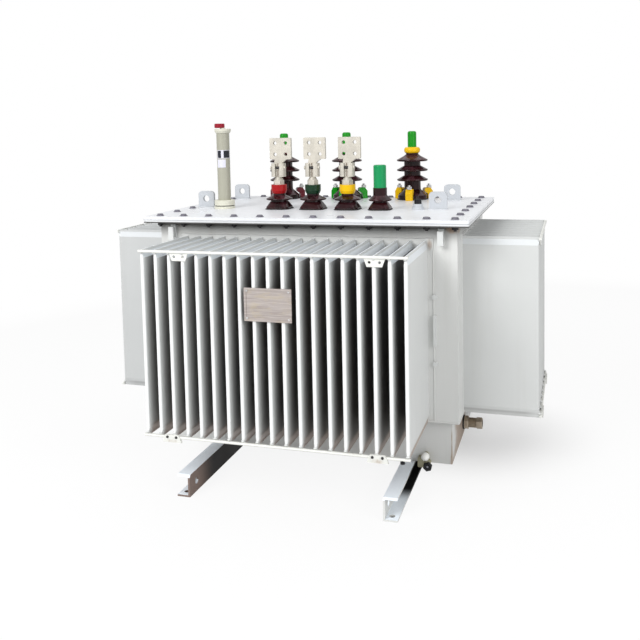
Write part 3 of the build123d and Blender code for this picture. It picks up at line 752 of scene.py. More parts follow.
@dataclass(frozen=True)
class Glaze:
    """Dark brown glazed porcelain with slightly uneven colour and a wet shine."""

    name: str = "brown_glaze"
    tones: tuple[Colour, Colour] = (linear(44, 15, 17), linear(24, 8, 10))
    # Pale pink on the faces that look up: dust, and painted light on the shed tops.
    dust_and_top_light: Colour = linear(120, 78, 88)
    dust_and_top_light_share: float = 0.30
    roughness: Span = (0.10, 0.28)
    shine: float = 0.12
    coat: float = 0.25
    coat_roughness: float = 0.06

    def build(self) -> Material:
        """Builds the material.

        Returns:
            The material.
        """
        sheet = Recipe(self.name)
        weather = sheet.weather(scale=22.0)
        colour = sheet.mix(weather["Cloud"], *self.tones)
        values = {
            "Base Color": sheet.mix(sheet.times(weather["Dust"], self.dust_and_top_light_share), colour, self.dust_and_top_light),
            "Roughness": sheet.band(weather["Dust"], 0.0, 1.0, *self.roughness),
            "Specular IOR Level": self.shine,
            "Coat Weight": self.coat,
            "Coat Roughness": self.coat_roughness,
        }
        waves = sheet.noise(sheet.vector, scale=60.0, detail=2.0)
        return sheet.finished(values, waves, strength=0.10, distance=0.001)


@dataclass(frozen=True)
class Moulded:
    """Moulded plastic or rubber: even colour with slight fading and a fine grain."""

    name: str
    colour: Colour
    roughness: float = 0.30
    fade: float = 0.25
    faded: float = 0.7
    shine: float = 0.3

    def build(self) -> Material:
        """Builds the material.

        Returns:
            The material.
        """
        sheet = Recipe(self.name)
        cloud = sheet.weather(scale=30.0)["Cloud"]
        colour = sheet.mix(sheet.times(cloud, self.fade), self.colour, shade(self.colour, self.faded))
        rough = sheet.band(cloud, 0.0, 1.0, self.roughness - 0.06, self.roughness + 0.1)
        values = {"Base Color": colour, "Roughness": rough, "Specular IOR Level": self.shine}
        return sheet.finished(values, sheet.peel(grain=900.0), strength=0.08, distance=0.0008)


@dataclass(frozen=True)
class BareMetal:
    """Bare or plated metal with fine scratches along one axis and dull patches."""

    name: str
    colour: Colour
    roughness: float = 0.5
    metallic: float = 0.3
    tarnish: float = 0.4
    tarnished: float = 0.55
    stretch: Triple = (30.0, 30.0, 400.0)

    def build(self) -> Material:
        """Builds the material.

        Returns:
            The material.
        """
        sheet = Recipe(self.name)
        dull = sheet.times(sheet.weather(scale=25.0)["Cloud"], self.tarnish)
        scratch = sheet.grain(sheet.vector, self.stretch, detail=4.0, roughness=0.7)
        values = {
            "Base Color": sheet.mix(dull, self.colour, shade(self.colour, self.tarnished)),
            "Roughness": sheet.band(scratch, 0.3, 0.7, self.roughness - 0.08, self.roughness + 0.12),
            "Metallic": self.metallic,
        }
        return sheet.finished(values, scratch, strength=0.15, distance=0.0006)


@dataclass(frozen=True)
class Brushed:
    """Thin brushed metal of the rating plate, left blank, with pinkish and pale streaks along it."""

    name: str
    tones: tuple[Colour, Colour] = (linear(156, 146, 142), linear(190, 182, 178))
    warm: Colour = linear(190, 176, 146)
    warm_share: float = 0.4
    roughness: Span = (0.30, 0.52)
    metallic: float = 0.45

    def build(self) -> Material:
        """Builds the material.

        Returns:
            The material.
        """
        sheet = Recipe(self.name)
        brushed = sheet.grain(sheet.vector, stretch=(9.0, 30.0, 420.0), detail=5.0, roughness=0.7)
        patches = sheet.grain(sheet.vector, stretch=(30.0, 30.0, 90.0), detail=4.0, roughness=0.6)
        tone = sheet.mix(sheet.band(brushed, 0.35, 0.65), *self.tones)
        warmth = sheet.times(sheet.band(patches, 0.45, 0.7), self.warm_share)
        values = {
            "Base Color": sheet.mix(warmth, tone, self.warm),
            "Roughness": sheet.band(brushed, 0.3, 0.7, *self.roughness),
            "Metallic": self.metallic,
        }
        return sheet.finished(values, brushed, strength=0.25, distance=0.0005)


class Finishes:
    """Every material of the object, built once."""

    def __init__(self) -> None:
        """Builds the materials."""
        self.plain_paints()
        self.worn_and_shaded_paints()
        self.skid_paints()
        self.plastics()
        self.metals()
        self.glaze = Glaze().build()

    def plain_paints(self) -> None:
        """Builds the enamels without rust or painted gap shade; the flange's has a painted shadow line along
        its lower edge.
        """
        shadow_line = place_of("tank_flange")[0].z
        self.grey = Enamel("grey_enamel", linear(214, 216, 215)).build()
        self.lugs = Enamel("lug_enamel", linear(190, 194, 199), dirt=0.12).build()
        self.flange = Enamel("flange_enamel", linear(222, 224, 226), 0.34, shadow_line=shadow_line).build()
        self.white = Enamel("white_enamel", linear(234, 236, 240), 0.32, 0.05).build()
        self.tube_paint = Enamel("gauge_paint", linear(166, 165, 150), 0.35, 0.06).build()
        self.collar_paint = Enamel("gauge_collar_paint", linear(208, 207, 192), 0.35, 0.05).build()

    def worn_and_shaded_paints(self) -> None:
        """Builds the enamels of the tank, the bars and the fins, with their rust, painted shade and painted
        light.
        """
        corner = Spot((0.418, -0.366, 0.775), (0.015, 0.06, 0.035))
        wall = (
            corner,
            Spot((0.480, -0.362, 0.828), (0.026, 0.05, 0.030)),
            Spot((0.500, -0.330, 0.818), (0.03, 0.08, 0.02)),
            Spot((0.479, -0.110, 0.160), (0.02, 0.24, 0.14)),
            Spot((0.479, -0.150, 0.185), (0.03, 0.20, 0.10)),
            Spot((0.479, -0.200, 0.072), (0.02, 0.34, 0.07)),
            Spot((0.479, -0.337, 0.120), (0.006, 0.012, 0.16)),
        )
        # Spots round the top clips' holes are painted shade in the rust colours; those on the foot clips are
        # stains.
        holes = [(x + side * 0.0145, -0.681, 0.769) for x in (-0.280, 0.318) for side in BOTH_SIDES]
        feet = [(x, -0.683, 0.206) for x in (-0.318, 0.320)]
        hole_shade_and_clip_stains = [Spot(hole, (0.008, 0.02, 0.008)) for hole in holes]
        hole_shade_and_clip_stains += [Spot(foot, (0.042, 0.02, 0.018)) for foot in feet]
        # Painted shade deep in the front fins' gaps, with a painted highlight on their tips.
        deep = Gaps(Axis.DEEP, 0.677, 0.600, 0.4095, tip_highlight=0.7)
        # Browner at the fins' feet, near their tips.
        brown = (linear(138, 116, 102), linear(166, 146, 132))
        brown_feet = Gaps(Axis.DEEP, 0.677, 0.645, 0.4095, 0.200, 0.230, 0.8, 0.0, brown)
        # Painted shade deep in the side packs' gaps.
        sides = Gaps(Axis.ACROSS, 0.752, 0.690, 0.2415, top=0.745, strength=0.78)
        self.bars = Enamel("bar_enamel", linear(226, 227, 222), rust_and_shade=tuple(hole_shade_and_clip_stains)).build()
        # The tank's wall carries the cover's painted shadow under the flange.
        self.tank = Enamel("tank_enamel", linear(213, 214, 212), 0.38, 0.14, wall, eaves_shadow=True).build()
        grey = linear(214, 216, 215)
        front = Enamel("front_fin_enamel", grey, rust_and_shade=(corner,), gaps=(deep, brown_feet), top_light=0.75)
        # The side packs' paint is a darker copy of the front fins' grey, the left one darker still: painted
        # shade.
        left = Enamel("left_fin_enamel", linear(198, 200, 200), dirt=0.08, gaps=(sides,), top_light=0.4)
        right = replace(left, name="right_fin_enamel", colour=linear(206, 208, 207))
        # Pale blue on the fins' faces that look up: dust, and painted light on their tops.
        fins = [replace(paint, dust_and_top_light=linear(206, 212, 218)).build() for paint in (front, left, right)]
        self.front_fins, self.left_fins, self.right_fins = fins

    def skid_paints(self) -> None:
        """Builds the enamels of the skids: painted brown shade on the left one's web near its end, the tank's
        painted shadow under it on both, and painted light on their tops.
        """
        # Painted shade, tinted brown, on the side faces of the left skid towards its front end.
        brown = (linear(104, 80, 70), linear(142, 114, 100))
        # Painted shadow of the tank on both skids, darkest under it.
        tank_shadow_tints = (linear(8, 8, 8), linear(24, 20, 17))
        end = Gaps(Axis.DEEP, 0.760, 0.640, foot=0.0, top=0.5, strength=0.84, tints=brown)
        left, right = (
            Gaps(Axis.DEEP, tip, root, foot=0.0, top=0.5, strength=0.99, tints=tank_shadow_tints, lid=0.05)
            for tip, root in ((0.575, 0.430), (0.490, 0.400))
        )
        # The skids' tops get painted light; the left skid's colour is a darker, warmer copy of the right
        # one's: painted shade.
        self.left_skid, self.right_skid = (
            Enamel(f"{side}_skid_enamel", colour, 0.42, 0.2, gaps=gaps, top_light=1.0, shine=0.05).build()
            for side, colour, gaps in (
                ("left", linear(208, 206, 202), (end, left)),
                ("right", linear(218, 219, 217), (right,)),
            )
        )

    def plastics(self) -> None:
        """Builds the moulded caps, rings, claws and seals."""
        self.green = Moulded("green_cap", linear(8, 140, 14)).build()
        self.neutral_green = Moulded("emerald_cap", linear(12, 142, 82), 0.32, 0.12).build()
        self.red = Moulded("red_ring", linear(160, 8, 14)).build()
        self.crimson = Moulded("crimson_knob", linear(146, 8, 36), 0.35).build()
        self.dark_red = Moulded("dark_red_claw", linear(88, 14, 26)).build()
        self.dark_green = Moulded("dark_green_ring", linear(6, 46, 24)).build()
        self.yellow = Moulded("yellow_ring", linear(232, 184, 2), fade=0.12).build()
        self.orange = Moulded("amber_claw", linear(234, 186, 2), 0.32, 0.15).build()
        self.black = Moulded("matt_black", linear(16, 15, 20), 0.4).build()
        self.rubber = Moulded("seal_rubber", linear(40, 38, 38), 0.7).build()
        self.painted_seal = Moulded("painted_seal", linear(206, 208, 211), 0.6).build()
        self.cap_white = Moulded("white_cap", linear(250, 250, 246), 0.45, 0.03).build()
        self.label = Moulded("blank_label", linear(216, 216, 228), 0.5, 0.05).build()
        self.glass = Moulded("gauge_window", linear(34, 38, 46), 0.12, 0.3).build()

    def metals(self) -> None:
        """Builds the metals of terminals, fasteners, valves and rating plate."""
        self.tin = BareMetal("tinned_terminal", linear(198, 193, 182), 0.5, 0.4, 0.35).build()
        self.bolts = BareMetal("zinc_bolts", linear(126, 124, 134), 0.45, 0.5).build()
        # Dark steel, darker still as painted shade for the nuts in the shadow under the flange.
        self.dark_steel = BareMetal("dark_bolts", linear(52, 50, 52), 0.5, 0.4).build()
        self.bright_steel = BareMetal("bright_steel", linear(206, 206, 206), 0.32, 0.8).build()
        self.bronze = BareMetal("bronze_stud", linear(140, 122, 106), 0.45, 0.6).build()
        self.brass = BareMetal("dull_brass", linear(206, 192, 172)).build()
        self.olive = BareMetal("olive_brass", linear(166, 162, 136)).build()
        self.plate = Brushed("blank_plate").build()


@dataclass
class Tank:
    """The tank, its fins, tie bars, hooks, skids and the fittings on its walls."""

    finishes: Finishes
    bead: float = 0.0035
    flange_bead: float = 0.0042
    panel_bead: float = 0.00245
    panel_margin: float = 0.0175
    panel_top: float = 0.796
    fin_counts: tuple[int, int] = (19, 9)
    fin_half: float = 0.006
    tack_reach: float = 0.006
    tack_flatness: float = 0.6
    foot_tack_rise: float = 0.0218
    top_tack_drop: float = 0.0095
    clip_places: tuple[float, ...] = (-0.318, 0.320)
    screw_radius: float = 0.004
    screw_spacing: float = 0.029
    screw_rise: float = 0.0165
    rivet_inset: float = 0.0085
    plug_x: float = 0.3906
    plug_inset: float = 0.007

    def dress(self) -> None:
        """Paints the steelwork of the frame and gives plate and valves their metal."""
        paint = self.finishes
        for start, finish in (
            (("tank_", "wall_"), paint.grey),
            ("tank_body", paint.tank),
            ("tie_bars", paint.bars),
            ("skid_left", paint.left_skid),
            ("skid_right", paint.right_skid),
            (("fins_front", "fins_back"), paint.front_fins),
            ("fins_left", paint.left_fins),
            ("fins_right", paint.right_fins),
            ("nameplate", paint.plate),
            ("drain_valve", paint.brass),
            ("sampling_valve", paint.olive),
        ):
            dress([name for name in NODES if name.startswith(start)], finish)

    def seams(self) -> None:
        """Lays the weld beads: round the ledge, under the flange and round the top of each fin panel."""
        low, high, _ = place_of("tank_body")
        ledge = place_of("fins_front")[0].z
        beads = bead_frame(low, high, ledge + self.bead, self.bead)
        beads += bead_frame(low, high, place_of("tank_flange")[0].z, self.flange_bead)
        across = place_of("fins_front")[1].x + self.panel_margin
        deep = place_of("fins_right")[1].y + self.panel_margin
        for sign in BOTH_SIDES:
            wall_y = [(-across, sign * high.y), (across, sign * high.y)]
            wall_x = [(sign * high.x, -deep), (sign * high.x, deep)]
            for corners in (wall_y, wall_x):
                feet = [(*corner, ledge) for corner in corners]
                tops = [(*corner, self.panel_top) for corner in corners]
                beads += [weld_bead(a, b, self.panel_bead) for a, b in (*zip(feet, tops), tops)]
        piece("tank_weld_seams", joined(beads), self.finishes.tank, SEAM_CREASE)

    def tacks(self) -> None:
        """Sets a small weld at each crossing of a tie bar and a fin tip: a flattened ball cut by the bar."""
        turn = np.linspace(-math.pi / 2, math.pi / 2, 5)
        pole = 1e-5
        height = np.sin(turn) * self.tack_reach * self.tack_flatness
        ball = lathe(np.column_stack([np.cos(turn) * self.tack_reach + pole, height]), 8)
        places = []
        for name, along in (("front", 0), ("back", 0), ("left", 1), ("right", 1)):
            low, high, _ = place_of(f"fins_{name}")
            foot_bar, top_bar, _ = place_of(f"tie_bars_{name}")
            count = self.fin_counts[along]
            for z in (foot_bar.z + self.foot_tack_rise, top_bar.z - self.top_tack_drop):
                spots = np.full((count, 3), z)
                spots[:, along] = np.linspace(low[along] + self.fin_half, high[along] - self.fin_half, count)
                spots[:, 1 - along] = (low if name in ("front", "left") else high)[1 - along]
                places.append(spots)
        tacks = ball.copies(np.concatenate(places))
        piece("tie_bar_tacks", tacks, self.finishes.grey, SEAM_CREASE)

    def fasteners(self) -> None:
        """Puts screws on the foot clips, rivets on the rating plate and a plug under the front foot bar."""
        radius = self.screw_radius
        screw = lathe([(radius, 0), (radius, 0.002), (radius * 0.6, 0.0032)], 10).turned(TURN_TO_FRONT)
        front = place_of("tie_bars_front")[0]
        level = (front.y, front.z + self.screw_rise)
        half = self.screw_spacing / 2
        places = [(x + side * half, *level) for x in self.clip_places for side in BOTH_SIDES]
        piece("foot_clip_screws", screw.copies(places), self.finishes.dark_steel)
        low, high, _ = place_of("nameplate")
        rivet = lathe([(0.0032, -0.001), (0.0032, 0.0006), (0.0020, 0.0016)], 10).turned(TURN_TO_FRONT)
        inset = self.rivet_inset
        heights = (low.z + inset, high.z - inset)
        corners = [(x, low.y, z) for x in (low.x + inset, high.x - inset) for z in heights]
        piece("plate_rivets", rivet.copies(corners), self.finishes.bright_steel)
        plug = lathe([(0.0060, -0.006), (0.0070, -0.0045), (0.0070, 0), (0.0040, 0.001), (0.0040, 0.004)], 12)
        spot = (self.plug_x, front.y + self.plug_inset, place_of("fins_front")[0].z - 0.0005)
        piece("foot_bar_plug", plug.moved(spot), self.finishes.black)

    def drain_valve(self) -> None:
        """Adds the drain valve's hexagon, thread, cap and seal."""
        low, high, middle = place_of("drain_valve")
        length = high.x - low.x
        seat = (low.x, middle.y, middle.z)
        flat = math.pi / 6
        nut = lathe([(0.0225, 0.010), (0.0235, 0.0115), (0.0235, 0.0175), (0.0225, 0.019)], 6, flat)
        turns = np.arange(40)
        ridges = 0.0165 + 0.0008 * np.cos(turns * math.pi)
        thread = lathe(np.column_stack([ridges, np.linspace(0.020, 0.046, len(turns))]), 24)
        cap = lathe([(0.0195, 0.046), (0.0205, 0.048), (0.0205, length - 0.002), (0.0185, length)], 6, flat)
        fittings = joined([nut, thread, cap]).turned(TURN_TO_RIGHT).moved(seat)
        piece("drain_valve_fittings", fittings, self.finishes.brass)
        seal = lathe([(0.0235, 0), (0.0245, 0.001), (0.0245, 0.004), (0.0235, 0.005)], 24)
        piece("drain_valve_seal", seal.turned(TURN_TO_RIGHT).moved(seat), self.finishes.rubber)

    def sampling_valve(self) -> None:
        """Adds the sampling valve's domed cap, and the black cap and pin of its outlet."""
        low, high, _ = place_of("sampling_valve")
        turn = np.linspace(0, math.pi / 2 - 0.05, 7)
        dome = np.column_stack([0.0125 * np.cos(turn), 0.012 + 0.011 * np.sin(turn)])
        cap = lathe([(0.0100, 0.0), (0.0125, 0.003), *dome], 20)
        rim = [(0.0130, 0), (0.0148, 0.002), (0.0148, 0.012), (0.0130, 0.014)]
        hollow = [(0.0050, 0.014), (0.0045, 0.004), (0.0005, 0.004)]
        outlet_cap = lathe(rim + hollow, 6, 0.3)
        pin = lathe([(0.0036, 0.003), (0.0036, 0.0095), (0.0028, 0.0105)], 12)
        spindle = (low.x + 0.025, high.y - 0.016, high.z - 0.008)
        outlet = (high.x - 0.006, low.y + 0.006, low.z + 0.010)
        for name, surface, place, finish, slot in (
            ("sampling_valve_cap", cap, spindle, self.finishes.cap_white, "white_paint"),
            ("sampling_valve_outlet_cap", outlet_cap, outlet, self.finishes.black, "black_plastic"),
            ("sampling_valve_pin", pin, outlet, self.finishes.label, "white_paint"),
        ):
            piece(name, surface.turned(TURN_TO_FRONT).moved(place), finish)

    def build(self) -> None:
        """Builds every piece of the tank."""
        self.dress()
        self.seams()
        self.tacks()
        self.fasteners()
        self.drain_valve()
        self.sampling_valve()


@dataclass
class Cover:
    """The cover with its bolts, lugs and seal."""

    finishes: Finishes
    long_count: int = 12
    short_count: int = 7
    inner_pitch: float = 0.0915
    corner_x: float = 0.499
    bolt_inset_y: float = 0.036
    head_across: float = 0.019
    head_height: float = 0.005
    nut_foot: float = 0.0115
    end_foot: float = 0.016
    washer_radius: float = 0.013
    washer_height: float = 0.002
    shank_radius: float = 0.005
    lug_half: tuple[float, float] = (0.031, 0.006)
    lug_bead: float = 0.004
    seal_bead: float = 0.0017
    seal_ripple: float = 0.03

    def places(self) -> Array:
        """Gives the bolt places round the cover's edge, at z = 0, each corner once.

        Returns:
            Points (n, 3).
        """
        low, high, _ = place_of("cover_plate")
        inner = self.inner_pitch * (np.arange(self.long_count - 2) - (self.long_count - 3) / 2)
        x = np.concatenate([[-self.corner_x], inner, [self.corner_x]])
        y = np.linspace(low.y + self.bolt_inset_y, high.y - self.bolt_inset_y, self.short_count)
        long_sides = [np.column_stack([x, np.full_like(x, edge)]) for edge in (y[0], y[-1])]
        short_sides = [np.column_stack([np.full_like(y[1:-1], edge), y[1:-1]]) for edge in (x[0], x[-1])]
        flat = np.concatenate(long_sides + short_sides)
        return np.column_stack([flat, np.zeros(len(flat))])

    def bolts(self) -> None:
        """Puts a washer and a hexagon head on each place, and washer, nut and bolt's end under the flange."""
        top = place_of("cover_plate")[1].z
        under = place_of("tank_flange")[0].z
        radius = self.head_across / 2 / math.cos(math.pi / 6)
        washer = lathe([(self.washer_radius, 0), (self.washer_radius, self.washer_height)], 20)
        base = self.washer_height
        rise = base + self.head_height
        head = lathe([(radius, base), (radius, rise - 0.001), (radius * 0.84, rise)], 6)
        low = -self.nut_foot
        nut = lathe([(radius * 0.84, low), (radius * 0.95, low + 0.001), (radius * 0.95, -base)], 6)
        shank = self.shank_radius
        tip = -self.end_foot
        end = lathe([(shank * 0.8, tip), (shank, tip + 0.0005), (shank, low + 0.0005)], 12)
        over = self.places() + [0, 0, top]
        piece("cover_bolt_heads", joined([washer, head]).copies(over), self.finishes.bolts)
        nuts = joined([washer.moved((0, 0, -base)), nut, end]).copies(self.places() + [0, 0, under])
        piece("cover_bolt_nuts", nuts, self.finishes.dark_steel)

    def lug_welds(self) -> None:
        """Lays a bead along both long sides and both ends of each lifting lug's foot."""
        top = place_of("cover_plate")[1].z
        low, high, _ = place_of("lifting_lugs")
        half_x, half_y = self.lug_half
        long_side, end_side, end_half = 0.0065, 0.0315, 0.007
        beads = []
        for x in (low.x + half_x, high.x - half_x):
            for y in (low.y + half_y, high.y - half_y):
                for side in BOTH_SIDES:
                    along = y + side * long_side
                    beads.append(weld_bead((x - half_x, along, top), (x + half_x, along, top), self.lug_bead))
                    end = x + side * end_side
                    beads.append(weld_bead((end, y - end_half, top), (end, y + end_half, top), self.lug_bead))
        piece("lug_welds", joined(beads), self.finishes.lugs, SEAM_CREASE)

    def edge_seal(self) -> None:
        """Lays a line of painted sealant round the edge of the seal, flush with the plates."""
        low, high, middle = place_of("cover_gasket")
        beads = bead_frame(low, high, middle.z, self.seal_bead, self.seal_ripple)
        piece("cover_edge_seal", joined(beads), self.finishes.painted_seal, SEAM_CREASE)

    def build(self) -> None:
        """Dresses the plates and lugs and builds seal, bolts and welds."""
        dress(["cover_plate"], self.finishes.white)
        dress(["tank_flange"], self.finishes.flange)
        dress(["cover_gasket"], self.finishes.painted_seal)
        dress(["lifting_lugs"], self.finishes.lugs)
        self.edge_seal()
        self.bolts()
        self.lug_welds()


@dataclass
class Bushings:
    """High-voltage, low-voltage and neutral bushings."""

    finishes: Finishes
    claw_angles: tuple[float, ...] = (-90.0, 30.0, 150.0)
    claw_middle: float = 0.068
    claw_top: float = 0.0432
    gasket: float = 0.003
    gasket_bevel: float = 0.0008
    stud_rise: float = 0.0165
    stud_length: float = 0.060
    thread_rows: int = 61
    clamp_rise: float = 0.060
    clamp_forward: float = 0.006

    def dress(self) -> None:
        """Gives the bushings of the frame their glaze, colours and metal."""
        paint = self.finishes
        dress([name for name in NODES if "insulator" in name], paint.glaze)
        dress(["hv_caps"], paint.green)
        dress(["neutral_cap"], paint.neutral_green)
        dress([f"lv_terminal_{phase}" for phase in PHASES], paint.tin)
        for phase, claw, ring in zip(
            PHASES, (paint.dark_red, paint.green, paint.orange), (paint.red, paint.dark_green, paint.yellow)
        ):
            dress([f"hv_phase_{phase}"], claw)
            dress([f"lv_ring_{phase}"], ring)

    def gaskets(self) -> None:
        """Lays a thin dark gasket under the foot of every bushing."""
        top = self.gasket
        edge = self.gasket_bevel
        disc = lathe([(0.0590, 0), (0.0600, edge), (0.0600, top - edge), (0.0590, top)], 40)
        feet = [(f"hv_insulator_{phase}", disc) for phase in PHASES]
        foot = slab(rounded_square(0.090, 0.024), 0, top, edge)
        feet += [(f"lv_insulator_{phase}", foot) for phase in PHASES]
        feet.append(("neutral_insulator", slab(rounded_square(0.080, 0.022), 0, top, edge)))
        rings = []
        for name, shape in feet:
            low, _, middle = place_of(name)
            rings.append(shape.moved((middle.x, middle.y, low.z)))
        piece("bushing_gaskets", joined(rings), self.finishes.rubber)

    def claw_nuts(self) -> None:
        """Puts a washer, a hexagon nut and a stud's end on each claw."""
        washer = lathe([(0.0105, 0), (0.0105, 0.0018)], 16)
        nut = lathe([(0.0095, 0.0018), (0.0098, 0.003), (0.0098, 0.0095), (0.0088, 0.0105)], 6)
        stud = lathe([(0.005, 0.0105), (0.005, 0.015), (0.004, 0.016)], 12)
        turn = np.radians(self.claw_angles)
        ring = np.column_stack([np.cos(turn), np.sin(turn), np.zeros(len(turn))]) * self.claw_middle
        places = []
        for phase in PHASES:
            low, _, middle = place_of(f"hv_insulator_{phase}")
            places.append(ring + [middle.x, middle.y, low.z + self.claw_top])
        nuts = joined([washer, nut, stud]).copies(np.concatenate(places))
        piece("claw_nuts", nuts, self.finishes.bright_steel)

    def clamp_bolts(self) -> None:
        """Puts a threaded stud in the slot of each low-voltage clamp and a bolt across its top."""
        rows = np.arange(self.thread_rows)
        ridges = 0.0083 + 0.0004 * np.cos(rows * math.pi)
        stud = lathe(np.column_stack([ridges, np.linspace(0, self.stud_length, len(rows))]), 20)
        head = lathe([(0.0078, 0.0235), (0.0078, 0.0270), (0.0068, 0.0280)], 6)
        tail = lathe([(0.0068, -0.0280), (0.0078, -0.0270), (0.0078, -0.0235)], 6)
        shank = lathe([(0.0050, -0.0236), (0.0055, -0.022), (0.0055, 0.022), (0.0050, 0.0236)], 12)
        studs = []
        bolts = []
        for phase in PHASES:
            foot = place_of(f"lv_terminal_{phase}")[0].z
            centre = place_of(f"lv_ring_{phase}")[2]
            studs.append((centre.x, centre.y, foot + self.stud_rise))
            bolts.append((centre.x, centre.y - self.clamp_forward, foot + self.clamp_rise))
        ends = joined([head, tail]).turned(TURN_TO_RIGHT).copies(bolts)
        piece("terminal_studs", stud.copies(studs), self.finishes.bronze)
        piece("clamp_bolt_ends", ends, self.finishes.tin)
        shanks = shank.turned(TURN_TO_RIGHT).copies(bolts)
        piece("clamp_bolt_shanks", shanks, self.finishes.dark_steel)

    def build(self) -> None:
        """Builds every piece of the bushings."""
        self.dress()
        self.gaskets()
        self.claw_nuts()
        self.clamp_bolts()


@dataclass
class Gauge:
    """The oil level gauge and the thermometer pocket."""

    finishes: Finishes
    facing: float = -66.0
    window: Span = (0.185, 0.211)
    window_angles: tuple[Span, ...] = ((-53, -21), (2, 58))
    window_rim: float = 0.002
    rim_angles: Span = (-62, 68)
    label: Span = (0.150, 0.179)
    label_angles: Span = (-62, 18)
    proud: float = 0.0008

    def plate(self, radius: float, angles: Span, heights: Span, proud: float) -> Surface:
        """Lays a plate on the tube between two angles, in degrees from where the gauge faces."""
        return curved_plate(radius, (self.facing + angles[0], self.facing + angles[1]), heights, proud)

    def build(self) -> None:
        """Dresses the gauge and adds its windows, blank label and seal."""
        dress(["gauge_base", "gauge_collar"], self.finishes.collar_paint)
        dress(["pocket_base"], self.finishes.lugs)
        dress(["gauge_tube"], self.finishes.tube_paint)
        dress(["gauge_knob"], self.finishes.crimson)
        dress(["pocket_cap"], self.finishes.black)
        low, high, middle = place_of("gauge_tube")
        radius = (high.x - low.x) / 2
        place = (middle.x, middle.y, place_of("cover_plate")[1].z)
        rim = (self.window[0] - self.window_rim, self.window[1] + self.window_rim)
        frame_plate = self.plate(radius, self.rim_angles, rim, self.proud)
        label = self.plate(radius, self.label_angles, self.label, self.proud)
        piece("gauge_labels", joined([frame_plate, label]).moved(place), self.finishes.label)
        panes = [self.plate(radius, angles, self.window, self.proud * 2) for angles in self.window_angles]
        piece("gauge_windows", joined(panes).moved(place), self.finishes.glass)
        seal = lathe([(0.0342, 0.0088), (0.0352, 0.0096), (0.0352, 0.0114), (0.0342, 0.0122)], 40)
        piece("gauge_seal", seal.moved(place), self.finishes.rubber)


@dataclass(frozen=True)
class Lamp:
    """A square area lamp over the floor that looks at a height on the Z axis."""

    name: str
    place: Triple
    size: float
    watts: float
    aim: float = 0.5

    def build(self) -> None:
        """Adds the lamp."""
        data = bpy.data.lights.new(self.name, "AREA")
        data.size = self.size
        data.energy = self.watts
        light = bpy.data.objects.new(self.name, data)
        light.location = self.place
        way = Vector((0.0, 0.0, self.aim)) - Vector(self.place)
        light.rotation_euler = way.to_track_quat("-Z", "Y").to_euler()
        bpy.context.scene.collection.objects.link(light)


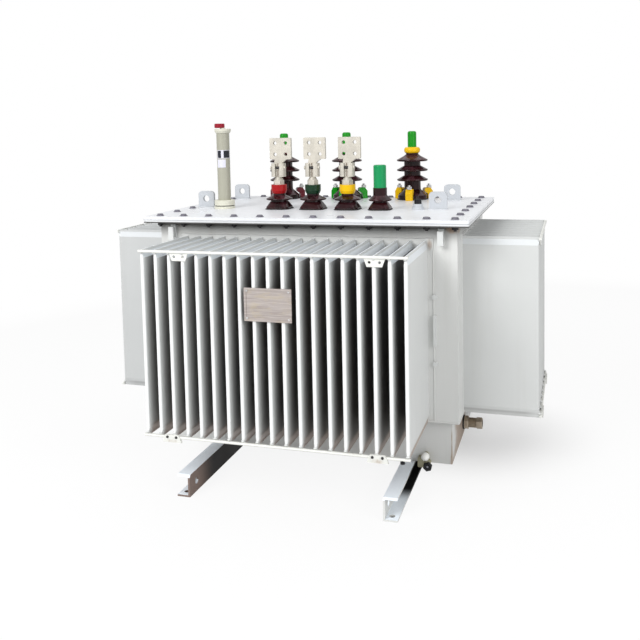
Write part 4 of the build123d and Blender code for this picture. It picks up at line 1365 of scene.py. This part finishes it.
@dataclass
class Studio:
    """Camera, lamps, world and floor."""

    spot: Triple = (0.8428, -2.8745, 1.1448)
    yaw: float = 17.166
    pitch: float = -4.51
    roll: float = -1.201
    lens: float = 46.294
    sensor: float = 36.0
    shift_y: float = -0.2
    floor_reach: float = 40.0
    shade_middle: Triple = (0.50, 0.15, 0.0)
    near_reach: Span = (0.10, 0.50)
    near_share: Span = (0.46, 0.90)
    far_reach: Span = (0.5, 3.5)
    skid_middle: float = 0.0095
    skid_apart: float = 0.3295
    skid_shadow_half: Span = (0.020, 0.61)
    glossy_share: float = 0.4
    diffuse_share: float = 0.50
    white: Colour = (1.0, 1.0, 1.0, 1.0)
    lit_grey: Colour = (0.66, 0.66, 0.66, 1.0)
    seen_grey: Colour = (0.86, 0.86, 0.86, 1.0)
    # Colour of the painted shadow under the skids.
    skid_shadow_grey: Colour = (0.05, 0.05, 0.05, 1.0)
    lamps: tuple[Lamp, ...] = (
        Lamp("key", (-1.8, -4.2, 3.3), 2.4, 185.0),
        Lamp("fill", (4.0, -2.8, 2.4), 2.2, 88.0),
        Lamp("top", (0.2, 1.4, 4.4), 4.2, 52.0, aim=0.8),
    )

    def camera(self) -> None:
        """Makes the camera: turned about the view axis, tipped, then turned about Z."""
        data = bpy.data.cameras.new("view")
        data.lens = self.lens
        data.sensor_width = self.sensor
        data.shift_y = self.shift_y
        eye = bpy.data.objects.new("view", data)
        turn = Matrix.Rotation(math.radians(self.yaw), 4, "Z")
        tip = Matrix.Rotation(math.radians(90 + self.pitch), 4, "X")
        lean = Matrix.Rotation(math.radians(self.roll), 4, "Z")
        eye.matrix_world = Matrix.Translation(self.spot) @ turn @ tip @ lean
        bpy.context.scene.collection.objects.link(eye)
        bpy.context.scene.camera = eye

    def world(self) -> None:
        """Makes a plain world: white where the camera, metal or glass sees it, dimmer as light."""
        world = bpy.data.worlds.new("studio")
        bpy.context.scene.world = world
        world.use_nodes = True
        sheet = Sheet(world.node_tree)
        path = sheet.add("LightPath").outputs
        seen = sheet.math("MAXIMUM", path["Is Camera Ray"], path["Is Transmission Ray"])
        glossy = sheet.times(path["Is Glossy Ray"], self.glossy_share)
        strength = sheet.band(sheet.math("MAXIMUM", seen, glossy), 0.0, 1.0, self.diffuse_share, 1.0)
        background = world.node_tree.nodes["Background"].inputs
        sheet.plug(strength, background["Strength"])
        sheet.plug(self.white, background["Color"])

    def skid_shadow_mask(self, sheet: Sheet, vector: Socket) -> Socket:
        """Is 1 under the two skids, where the floor is painted dark as their shadow, and 0 elsewhere.

        Args:
            sheet: The floor's nodes.
            vector: Place on the floor.

        Returns:
            The mask.
        """
        place = sheet.split(vector)
        from_middle = sheet.math("ABSOLUTE", sheet.math("SUBTRACT", place["X"], self.skid_middle))
        aside = sheet.math("ABSOLUTE", sheet.math("SUBTRACT", from_middle, self.skid_apart))
        half_width, half_length = self.skid_shadow_half
        along = sheet.math("LESS_THAN", sheet.math("ABSOLUTE", place["Y"]), half_length)
        return sheet.times(sheet.math("LESS_THAN", aside, half_width), along)

    def floor_paint(self) -> Material:
        """Mixes a matt floor, which keeps the shadow, with plain white for the camera farther out, and paints
        it dark under the skids as their shadow.

        Returns:
            The material.
        """
        material = bpy.data.materials.new("floor")
        material.use_nodes = True
        tree = material.node_tree
        tree.nodes.remove(tree.nodes["Principled BSDF"])
        sheet = Sheet(tree)
        path = sheet.add("LightPath").outputs
        seen = sheet.math("MAXIMUM", path["Is Camera Ray"], path["Is Glossy Ray"])
        vector = sheet.coordinates()
        skid_shadow = self.skid_shadow_mask(sheet, vector)
        tone = sheet.mix(skid_shadow, sheet.mix(seen, self.lit_grey, self.seen_grey), self.skid_shadow_grey)
        matt = sheet.add("BsdfDiffuse", {"Color": tone}).outputs[0]
        glow = sheet.add("Emission", {"Color": self.white, "Strength": 1.0}).outputs[0]
        ends = {0: vector, 1: self.shade_middle}
        away = sheet.add("VectorMath", ends, operation="DISTANCE").outputs["Value"]
        near = sheet.band(away, *self.near_reach, *self.near_share)
        white = sheet.math("MAXIMUM", near, sheet.band(away, *self.far_reach))
        share = sheet.times(seen, sheet.math("SUBTRACT", 1.0, skid_shadow), white)
        both = sheet.add("MixShader", {0: share, 1: matt, 2: glow}).outputs[0]
        sheet.plug(both, tree.nodes["Material Output"].inputs["Surface"])
        return material

    def floor(self) -> None:
        """Lays the floor: one square, its corners at plus and minus its reach."""
        reach = self.floor_reach
        mesh = bpy.data.meshes.new("floor")
        corners = [(-reach, -reach, 0), (reach, -reach, 0), (reach, reach, 0), (-reach, reach, 0)]
        mesh.from_pydata(corners, [], [(0, 1, 2, 3)])
        mesh.materials.append(self.floor_paint())
        floor = bpy.data.objects.new("floor", mesh)
        bpy.context.scene.collection.objects.link(floor)

    def build(self) -> None:
        """Builds the studio."""
        self.camera()
        self.world()
        self.floor()
        for lamp in self.lamps:
            lamp.build()
        bpy.context.scene.view_settings.view_transform = "Standard"


def main() -> None:
    """Builds the studio, then each sub-assembly."""
    logging.basicConfig(level=logging.INFO, format="%(message)s")
    Studio().build()
    finishes = Finishes()
    for assembly in (Tank(finishes), Cover(finishes), Bushings(finishes), Gauge(finishes)):
        assembly.build()
        LOG.info("built %s", type(assembly).__name__)


if __name__ == "__main__":
    main()
